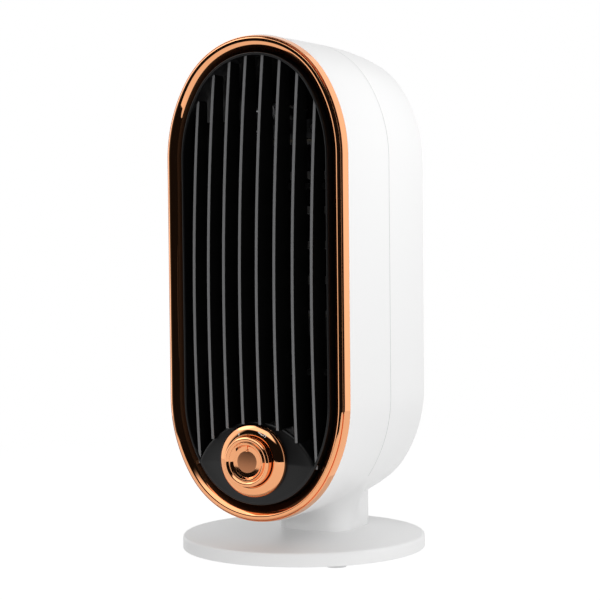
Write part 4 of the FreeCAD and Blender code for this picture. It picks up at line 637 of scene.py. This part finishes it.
def make_rear_shell():
    """Rear shell with screw wells, the posts behind them, and the bars between its inlet slots."""
    grids = [(rear_wall_grid(), True, True)]
    tube = rounded([(WELL_RADIUS, WELL_SEAT, 0), (POST_RADIUS, WELL_SEAT, 0),
                    (POST_RADIUS, REAR - 0.6 * MM, 0), (WELL_RADIUS, REAR - 0.6 * MM, 0)])
    places = [(side * x, z) for x, z in POST_PLACES for side in (-1, 1)]
    grids += [(turned(tube, place, count=48), True, True) for place in places]
    shell = bpy.data.objects.new("shell_rear", mesh_of("shell_rear", grids))
    bpy.context.scene.collection.objects.link(shell)
    drill = np.array([[0, REAR - 1.5 * WALL], [WELL_RADIUS, REAR - 1.5 * WALL],
                      [WELL_RADIUS, REAR + WALL], [0, REAR + WALL]])
    wells = bpy.data.objects.new("wells", mesh_of("wells", [(turned(drill, place, count=48), False, True)
                                                            for place in places]))
    bpy.context.scene.collection.objects.link(wells)
    drilled(shell, wells)
    finish_piece(shell, MATERIALS["white_plastic"], "root", ["rear_shell"], 38)
    # Painted shade on the casing's inside and the seam's lips.
    mark_faces(shell, shell_painted_shade)
    first = VENT_MIDDLE - (VENT_SLOTS - 2) / 2 * VENT_PITCH
    half = (VENT_PITCH - VENT_SLOT) / 2
    bars = []
    for number in range(VENT_SLOTS - 1):
        middle = first + number * VENT_PITCH
        bars.append((bar((-VENT_HALF_WIDTH - MM, REAR - WALL + 0.1 * MM, middle - half),
                         (VENT_HALF_WIDTH + MM, REAR - 0.05 * MM, middle + half), 0.3 * MM), False, True))
    piece("vent_bars", bars, MATERIALS["white_plastic"], "root", [])


def drilled(solid, tool):
    """Cuts the tool out of the solid for good, and removes the tool."""
    cutting = solid.modifiers.new("cut", "BOOLEAN")
    cutting.operation = "DIFFERENCE"
    cutting.solver = "EXACT"
    cutting.use_self = True
    cutting.object = tool
    bpy.context.view_layer.update()
    graph = bpy.context.evaluated_depsgraph_get()
    mesh = bpy.data.meshes.new_from_object(solid.evaluated_get(graph))
    solid.modifiers.clear()
    solid.data = mesh
    bpy.data.objects.remove(tool)


def make_base():
    """Base: a thin round cover, hollow below, turned from its rounded profile."""
    radius, top, bottom = base_high.x, base_high.z, base_low.z
    wall = 2 * MM
    outer = rounded([(0, top, 0), (radius, top, 1.6 * MM), (radius, bottom, 0.5 * MM),
                     (radius - wall, bottom, 0.3 * MM), (radius - wall, top - wall, 0.5 * MM),
                     (0, top - wall, 0)])
    piece("base_shell", [(turned(outer, axis="z", count=256), False, True)],
          MATERIALS["white_plastic"], "root", ["base_cover"])


# ---- ring, panel and grille -------------------------------------------------------------------

def make_ring():
    """Plated ring: side band, fine groove, rounded lip and a hollow inner wall down to the panel."""
    band = [(0.1 * MM, 0, 0.05 * MM), (0.75 * MM, -4.7 * MM, 0.5 * MM),
            (1.15 * MM, -5.15 * MM, 0.12 * MM), (1.3 * MM, -4.5 * MM, 0.05 * MM),
            (1.55 * MM, -5.35 * MM, 0.15 * MM)]
    lip = [(2.1 * MM, -5.9 * MM, 0.6 * MM), (3.6 * MM, RING_CREST, 1.2 * MM)]
    wall = [(5.2 * MM, -4.6 * MM, 3 * MM), (8.3 * MM, -0.6 * MM, 0.6 * MM), (8.6 * MM, 1 * MM, 0.1 * MM)]
    back = [(8.2 * MM, RING_SKIRT, 0.1 * MM), (2.6 * MM, RING_SKIRT, 0.1 * MM),
            (2.6 * MM, 0.1 * MM, 0.1 * MM)]
    profile = rounded(band + lip + wall + back, 9)
    profile[:, 1] += FRONT
    piece("ring", [(swept(profile), True, True)], MATERIALS["copper_chrome"], "root",
          ["bezel_ring"], crease=50)


def dome_limit(angle):
    """Distance from the knob's axis to the dome's edge: the panel's rim below, the arch above.

    The arch is a circle below the axis: along direction e the distance is e.c + sqrt((e.c)^2 + r^2 - c^2)."""
    rim = OUTLINE - (RIM_OUTER + 0.1 * MM) * OUTWARD - [0, KNOB_Z]
    bearing = np.arctan2(rim[:, 1], rim[:, 0])
    order = np.argsort(bearing)
    to_rim = np.interp(angle, bearing[order], np.linalg.norm(rim, axis=1)[order], period=2 * math.pi)
    lean = -ARCH_DROP * np.sin(angle)
    to_arch = lean + np.sqrt(lean ** 2 + ARCH_RADIUS ** 2 - ARCH_DROP ** 2)
    return np.minimum(to_rim, to_arch)


def dome_grid():
    """Control dome: polar rows from the knob's hole to the edge, then a rounded edge and the arch's wall.

    The reach falls from the crown to the edge as (1 - t^2)^2 of the share t of the way."""
    angle = np.arange(DOME_STEPS) * 2 * math.pi / DOME_STEPS
    limit = dome_limit(angle)
    direction = np.stack([np.cos(angle), np.sin(angle)], -1)
    rows = []

    def row(distance, depth):
        place = direction * np.broadcast_to(distance, angle.shape)[:, None] + [0, KNOB_Z]
        rows.append(np.column_stack([place[:, 0], np.broadcast_to(depth, angle.shape) + FRONT, place[:, 1]]))

    edge = limit - DOME_EDGE_ROUND
    for share in np.linspace(0, 1, 30):
        distance = DOME_HOLE + share * (edge - DOME_HOLE)
        far = distance / limit
        row(distance, DOME_EDGE_REACH + (DOME_REACH - DOME_EDGE_REACH) * (1 - far ** 2) ** 2)
    level = DOME_EDGE_REACH + (DOME_REACH - DOME_EDGE_REACH) * (1 - (edge / limit) ** 2) ** 2
    for turn in np.linspace(0, math.pi / 2, 9)[1:]:
        row(edge + DOME_EDGE_ROUND * math.sin(turn), level + DOME_EDGE_ROUND * (1 - math.cos(turn)))
    row(limit, PANEL_BACK)
    row(DOME_HOLE, PANEL_BACK)
    return np.array(rows)


def make_panel():
    """Gloss panel: the rim round the grille and the dome that carries the knob."""
    rim = rounded([(RIM_OUTER, PANEL_BACK, 0), (RIM_OUTER, RIM_REACH, 0.6 * MM),
                   (RIM_INNER, RIM_REACH, 0.55 * MM), (RIM_INNER + 0.3 * MM, PANEL_BACK, 0)])
    rim[:, 1] += FRONT
    piece("panel", [(swept(rim), True, True), (dome_grid(), True, True)], MATERIALS["black_gloss"],
          "root", ["front_panel"])


def opening_top(x):
    """Height of the grille opening's top at x, on the crown or shoulder arc less the rim's inset."""
    place = OUTLINE - RIM_INNER * OUTWARD
    upper = place[:, 1] > CASING_MIDDLE
    order = np.argsort(place[upper, 0])
    return np.interp(x, place[upper, 0][order], place[upper, 1][order])


def blade_grid(x):
    """Blade at x: a thin upright section with a round nose, carried up along the crowned front.

    The nose lies at reach + x^2 / (2 across) + (z - z0)^2 / (2 upright)."""
    low = KNOB_Z - ARCH_DROP + math.sqrt(ARCH_RADIUS ** 2 - x ** 2) - MM
    z = np.linspace(low, opening_top(x) + 0.5 * MM, 70)
    nose = FRONT + GRILLE_REACH + x ** 2 / (2 * CROWN_ACROSS)
    nose = nose + (z - CASING_MIDDLE + CROWN_DROP) ** 2 / (2 * CROWN_UPRIGHT)
    turn = np.linspace(-math.pi / 2, math.pi / 2, 13)
    across = np.concatenate([[-BLADE_HALF], BLADE_HALF * np.sin(turn), [BLADE_HALF]])
    back = np.concatenate([[1.0], np.zeros(len(turn)), [1.0]])
    bulge = np.concatenate([[0.0], BLADE_NOSE * (1 - np.cos(turn)), [0.0]])
    depth = np.where(back > 0, blade_high.y, nose[:, None] + bulge)
    grid = np.stack([np.broadcast_to(x + across, depth.shape), depth,
                     np.broadcast_to(z[:, None], depth.shape)], -1)
    ends = [np.tile(grid[row].mean(0), (1, len(across), 1)) for row in (0, -1)]
    return np.concatenate([ends[0], grid, ends[1]])


def make_grille():
    """Grille: upright blades across the opening and two bars behind them."""
    places = [(number - (BLADES - 1) / 2) * BLADE_PITCH for number in range(BLADES)]
    grids = [(blade_grid(x), False, True) for x in places]
    for side in (-1, 1):
        z = CASING_MIDDLE + side * 45 * MM
        grids.append((bar((-39 * MM, blade_high.y - 2 * MM, z - 1.5 * MM),
                          (39 * MM, blade_high.y, z + 1.5 * MM), 0.3 * MM), False, True))
    grille = piece("grille", grids, MATERIALS["blade_gloss"], "root", ["grille_blades"])
    # The blades' front-facing nose faces take the painted highlight.
    mark_faces(grille, lambda centre, normal: normal.y < -0.5 and centre.y < FRONT)


# ---- knob -------------------------------------------------------------------------------------

def make_collar():
    """Fixed collar: an upright lip, then a flare that narrows to the knob, and its hollow back."""
    seat, front = collar_high.y, collar_low.y
    rise = np.linspace(0, 1, 24)
    neck = 13 * MM
    flare = np.column_stack([COLLAR_RADIUS - (COLLAR_RADIUS - neck) * (1 - np.cos(rise * math.pi / 2)) ** 0.9,
                             seat - 0.6 * MM + (front - seat + 0.6 * MM) * np.sin(rise * math.pi / 2)])
    inside = np.array([[12.5 * MM, front + 0.2 * MM], [12.5 * MM, seat], [COLLAR_RADIUS - 0.3 * MM, seat]])
    profile = np.vstack([[[COLLAR_RADIUS, seat - 0.1 * MM]], flare, inside])
    piece("collar", [(turned(profile, (0, KNOB_Z)), True, True)], MATERIALS["copper_chrome"],
          "root", ["knob_collar"], crease=45)


def make_cap():
    """Knob cap: outer ring with a round crest, a second thin ring, a groove and the sunk face."""
    front = cap_low.y
    back = cap_high.y
    profile = rounded([
        (0, back, 0), (CAP_RADIUS, back, 0.3 * MM), (CAP_RADIUS, front + 0.9 * MM, 0.9 * MM),
        (11 * MM, front, 0.9 * MM), (9.9 * MM, front + 0.7 * MM, 0.2 * MM),
        (9.6 * MM, front + 0.9 * MM, 0.1 * MM),
        (9.3 * MM, front + 0.25 * MM, 0.3 * MM), (8.5 * MM, front + 0.3 * MM, 0.3 * MM),
        (FACE_RADIUS + 0.05 * MM, front + 1.6 * MM, 0.1 * MM), (0, front + 1.6 * MM, 0)], 8)
    piece("cap", [(turned(profile, (0, KNOB_Z)), False, True)], MATERIALS["copper_chrome"],
          "knob", ["knob_cap"], crease=45)


def make_face():
    """Knob face: a sunk disc, slightly domed, so that its reflection fades across it."""
    low, high = face_low.y, face_high.y
    share = np.linspace(0, 1, 20)
    dome = np.column_stack([FACE_RADIUS * share, low + 0.4 * MM * share ** 2])
    profile = np.vstack([dome, [[FACE_RADIUS, high]], [[0, high]]])
    piece("face", [(turned(profile, (0, KNOB_Z)), False, True)], MATERIALS["face_copper"],
          "knob", ["knob_face"], crease=50)


def ball(centre, radius, squash=1.0):
    """Ball of radius round centre, flattened along Y by squash."""
    polar = np.linspace(0, math.pi, 14)
    return turned(np.column_stack([radius * np.sin(polar), centre[1] - radius * squash * np.cos(polar)]),
                  (centre[0], centre[2]), count=28)


def rod_between(start, end, radius):
    """Round rod between two points in a plane of constant Y, closed at both ends."""
    start, end = np.array(start), np.array(end)
    along = (end - start) / np.linalg.norm(end - start)
    across = np.array([-along[2], 0, along[0]])
    angle = np.arange(20) * 2 * math.pi / 20
    loop = radius * (np.cos(angle)[:, None] * across + np.sin(angle)[:, None] * np.array([0, 1.0, 0]))
    return np.array([start + 0 * loop, start + loop, end + loop, end + 0 * loop])


def make_pointer():
    """Pointer on the knob at twelve o'clock: a short pin with a round end."""
    radius = pin_high.x
    depth = face_low.y
    low = (0.0, depth, pin_low.z + radius)
    high = (0.0, depth - 0.2 * MM, pin_high.z + 0.8 * MM)
    piece("pointer", [(ball(low, radius, 0.7), False, True),
                      (rod_between(low, high, radius * 0.55), False, True)],
          MATERIALS["copper_chrome"], "knob", ["knob_pointer"])


def on_collar(angle, radius):
    """Point just proud of the collar's flare, at an angle from twelve o'clock and a radius."""
    seat, front = collar_high.y, collar_low.y
    share = ((COLLAR_RADIUS - radius) / (COLLAR_RADIUS - 13 * MM)) ** (1 / 0.9)
    rise = math.acos(1 - min(share, 1.0))
    depth = seat - 0.6 * MM + (front - seat + 0.6 * MM) * math.sin(rise)
    turn = math.radians(angle)
    return (radius * math.sin(turn), depth - 0.02 * MM, KNOB_Z + radius * math.cos(turn))


def make_marks():
    """Two generic setting marks on the collar: a dot with a tick, and a tick with a small ring."""
    grids = [(ball(on_collar(-26, 16.4 * MM), 0.45 * MM, 0.6), False, True)]
    grids.append((rod_between(on_collar(-24, 14.6 * MM), on_collar(-25, 13.6 * MM), 0.25 * MM), False, True))
    grids.append((rod_between(on_collar(18, 15.2 * MM), on_collar(29, 14.6 * MM), 0.28 * MM), False, True))
    x, y, z = on_collar(33, 15.1 * MM)
    ring_angle = np.linspace(0, 2 * math.pi, 12, endpoint=False)
    thin = np.column_stack([0.6 * MM + 0.18 * MM * np.cos(ring_angle), y + 0.18 * MM * np.sin(ring_angle)])
    grids.append((turned(thin, (x, z), count=28), True, True))
    piece("marks", grids, MATERIALS["light_marks"], "root", ["dial_marks"])


# ---- stage ------------------------------------------------------------------------------------

def world_value(tree, operation, first, second):
    """Math node in the world, on sockets or numbers."""
    node = tree.nodes.new("ShaderNodeMath")
    node.operation = operation
    for number, value in enumerate((first, second)):
        if isinstance(value, (int, float)):
            node.inputs[number].default_value = value
        elif value is not None:
            tree.links.new(value, node.inputs[number])
    return node.outputs[0]


def smooth_step(tree, value, low, high):
    """Smooth step of a socket's value from 0 at low to 1 at high."""
    node = tree.nodes.new("ShaderNodeMapRange")
    node.interpolation_type = "SMOOTHSTEP"
    node.inputs["From Min"].default_value = low
    node.inputs["From Max"].default_value = high
    tree.links.new(value, node.inputs["Value"])
    return node.outputs["Result"]


def band(tree, value, low, high, soft):
    """1 between low and high, fading to 0 over soft on both sides."""
    rise = smooth_step(tree, value, low - soft, low)
    fall = smooth_step(tree, value, high, high + soft)
    return world_value(tree, "SUBTRACT", rise, fall)


def make_world():
    """White studio: an even wrap of light, and for reflections soft boxes round a dark front.

    A direction's bearing is measured from the front towards +X and its height above the horizon, in
    degrees; each soft box is a band of bearings times a band of heights."""
    world = bpy.data.worlds.new("studio")
    bpy.context.scene.world = world
    world.use_nodes = True
    tree = world.node_tree
    background = tree.nodes["Background"]
    background.inputs["Color"].default_value = (1, 1, 1, 1)
    place = tree.nodes.new("ShaderNodeTexCoord")
    split = tree.nodes.new("ShaderNodeSeparateXYZ")
    tree.links.new(place.outputs["Generated"], split.inputs[0])
    forward = world_value(tree, "MULTIPLY", split.outputs["Y"], -1.0)
    bearing = world_value(tree, "ARCTAN2", split.outputs["X"], forward)
    bearing = world_value(tree, "MULTIPLY", bearing, 180 / math.pi)
    height = world_value(tree, "ARCSINE", split.outputs["Z"], None)
    height = world_value(tree, "MULTIPLY", height, 180 / math.pi)
    total = None
    for bearings, heights, strength in SOFT_BOXES:
        box = world_value(tree, "MULTIPLY", band(tree, bearing, *bearings), band(tree, height, *heights))
        box = world_value(tree, "MULTIPLY", box, strength)
        total = box if total is None else world_value(tree, "ADD", total, box)
    mirror = world_value(tree, "ADD", total, DARK_LEVEL)
    ray = tree.nodes.new("ShaderNodeLightPath")
    even = mixed(tree, smooth_step(tree, height, -12.0, 4.0), GROUND_LEVEL, SKY_LEVEL)
    glossy = mixed(tree, ray.outputs["Is Glossy Ray"], even, mirror)
    seen = mixed(tree, ray.outputs["Is Camera Ray"], glossy, 1.0)
    tree.links.new(seen, background.inputs["Strength"])


def mixed(tree, factor, first, second):
    """Blend of two strengths by a factor."""
    node = tree.nodes.new("ShaderNodeMix")
    node.data_type = "FLOAT"
    tree.links.new(factor, node.inputs["Factor"])
    for label, value in (("A", first), ("B", second)):
        if isinstance(value, float):
            node.inputs[label].default_value = value
        else:
            tree.links.new(value, node.inputs[label])
    return node.outputs["Result"]


# bearings and heights as (low, high, softness) in degrees, and strength
SOFT_BOXES = (
    ((-118, -52, 16), (-50, 50, 25), 1.2),
    ((100, 400, 20), (-60, 60, 25), 1.15),
    ((-400, -120, 10), (-60, 60, 25), 0.9),
    ((-90, 30, 20), (38, 66, 8), 1.6),
)
DARK_LEVEL = 0.008
SKY_LEVEL = 0.4
GROUND_LEVEL = 0.62


def make_floor():
    """Pale floor: bright to the eye and to mirrors, with a soft shade under the object."""
    radius = 0.5
    mesh = mesh_of("floor", [(turned(np.array([[0, 0], [radius, 0]]), axis="z", count=96), False, True)])
    floor = bpy.data.objects.new("floor", mesh)
    bpy.context.scene.collection.objects.link(floor)
    material = bpy.data.materials.new("floor")
    material.use_nodes = True
    tree = material.node_tree
    tree.nodes.clear()
    ray = tree.nodes.new("ShaderNodeLightPath")
    glow = tree.nodes.new("ShaderNodeEmission")
    glossy = mixed(tree, ray.outputs["Is Glossy Ray"], 0.58, 0.8)
    strength = mixed(tree, ray.outputs["Is Camera Ray"], glossy, 0.9)
    tree.links.new(strength, glow.inputs["Strength"])
    matt = tree.nodes.new("ShaderNodeBsdfDiffuse")
    matt.inputs["Color"].default_value = (0.2, 0.2, 0.2, 1)
    both = tree.nodes.new("ShaderNodeAddShader")
    out = tree.nodes.new("ShaderNodeOutputMaterial")
    tree.links.new(glow.outputs[0], both.inputs[0])
    tree.links.new(matt.outputs[0], both.inputs[1])
    tree.links.new(both.outputs[0], out.inputs["Surface"])
    mesh.materials.append(material)


def soft_light(name, place, target, size, power):
    """Square area light aimed at a point, seen by no mirror."""
    data = bpy.data.lights.new(name, "AREA")
    data.shape = "RECTANGLE"
    data.size, data.size_y = size
    data.energy = power
    light = bpy.data.objects.new(name, data)
    bpy.context.scene.collection.objects.link(light)
    light.location = place
    light.rotation_euler = (Vector(target) - Vector(place)).to_track_quat("-Z", "Y").to_euler()
    light.visible_glossy = False
    light.visible_camera = False


def make_camera():
    """Camera level with the middle, to the right of the front, looking slightly down."""
    forward = Vector((-0.4520, 0.8911, -0.0408)).normalized()
    level = forward.cross(Vector((0, 0, 1))).normalized()
    roll = math.radians(-0.59)
    upright = level.cross(forward)
    right = math.cos(roll) * level + math.sin(roll) * upright
    up = -math.sin(roll) * level + math.cos(roll) * upright
    data = bpy.data.cameras.new("camera")
    data.lens = 108.3
    data.sensor_width = 36
    camera = bpy.data.objects.new("camera", data)
    bpy.context.scene.collection.objects.link(camera)
    turn = Matrix((right, up, -forward)).transposed().to_4x4()
    camera.matrix_world = Matrix.Translation((0.4162, -0.8224, 0.1658)) @ turn
    bpy.context.scene.camera = camera
    bpy.context.scene.view_settings.view_transform = "Standard"


finish_cad_nodes()
make_base()
make_front_shell()
make_rear_shell()
make_ring()
make_panel()
make_grille()
make_collar()
make_marks()
make_cap()
make_face()
make_pointer()
make_world()
make_floor()
soft_light("side_fill", (0.21, 0.02, 0.31), (0.049, 0.01, 0.225), (0.12, 0.2), 0.14)
soft_light("side_low", (0.55, 0.15, 0.1), (0.049, 0, 0.08), (0.2, 0.2), 0.5)
soft_light("overhead", (0.0, -0.05, 0.95), (0, 0, 0), (0.45, 0.45), 1.2)
soft_light("front_low", (0.3, -0.5, 0.15), (0.0, 0.0, 0.0), (0.3, 0.1), 0.8)
make_camera()
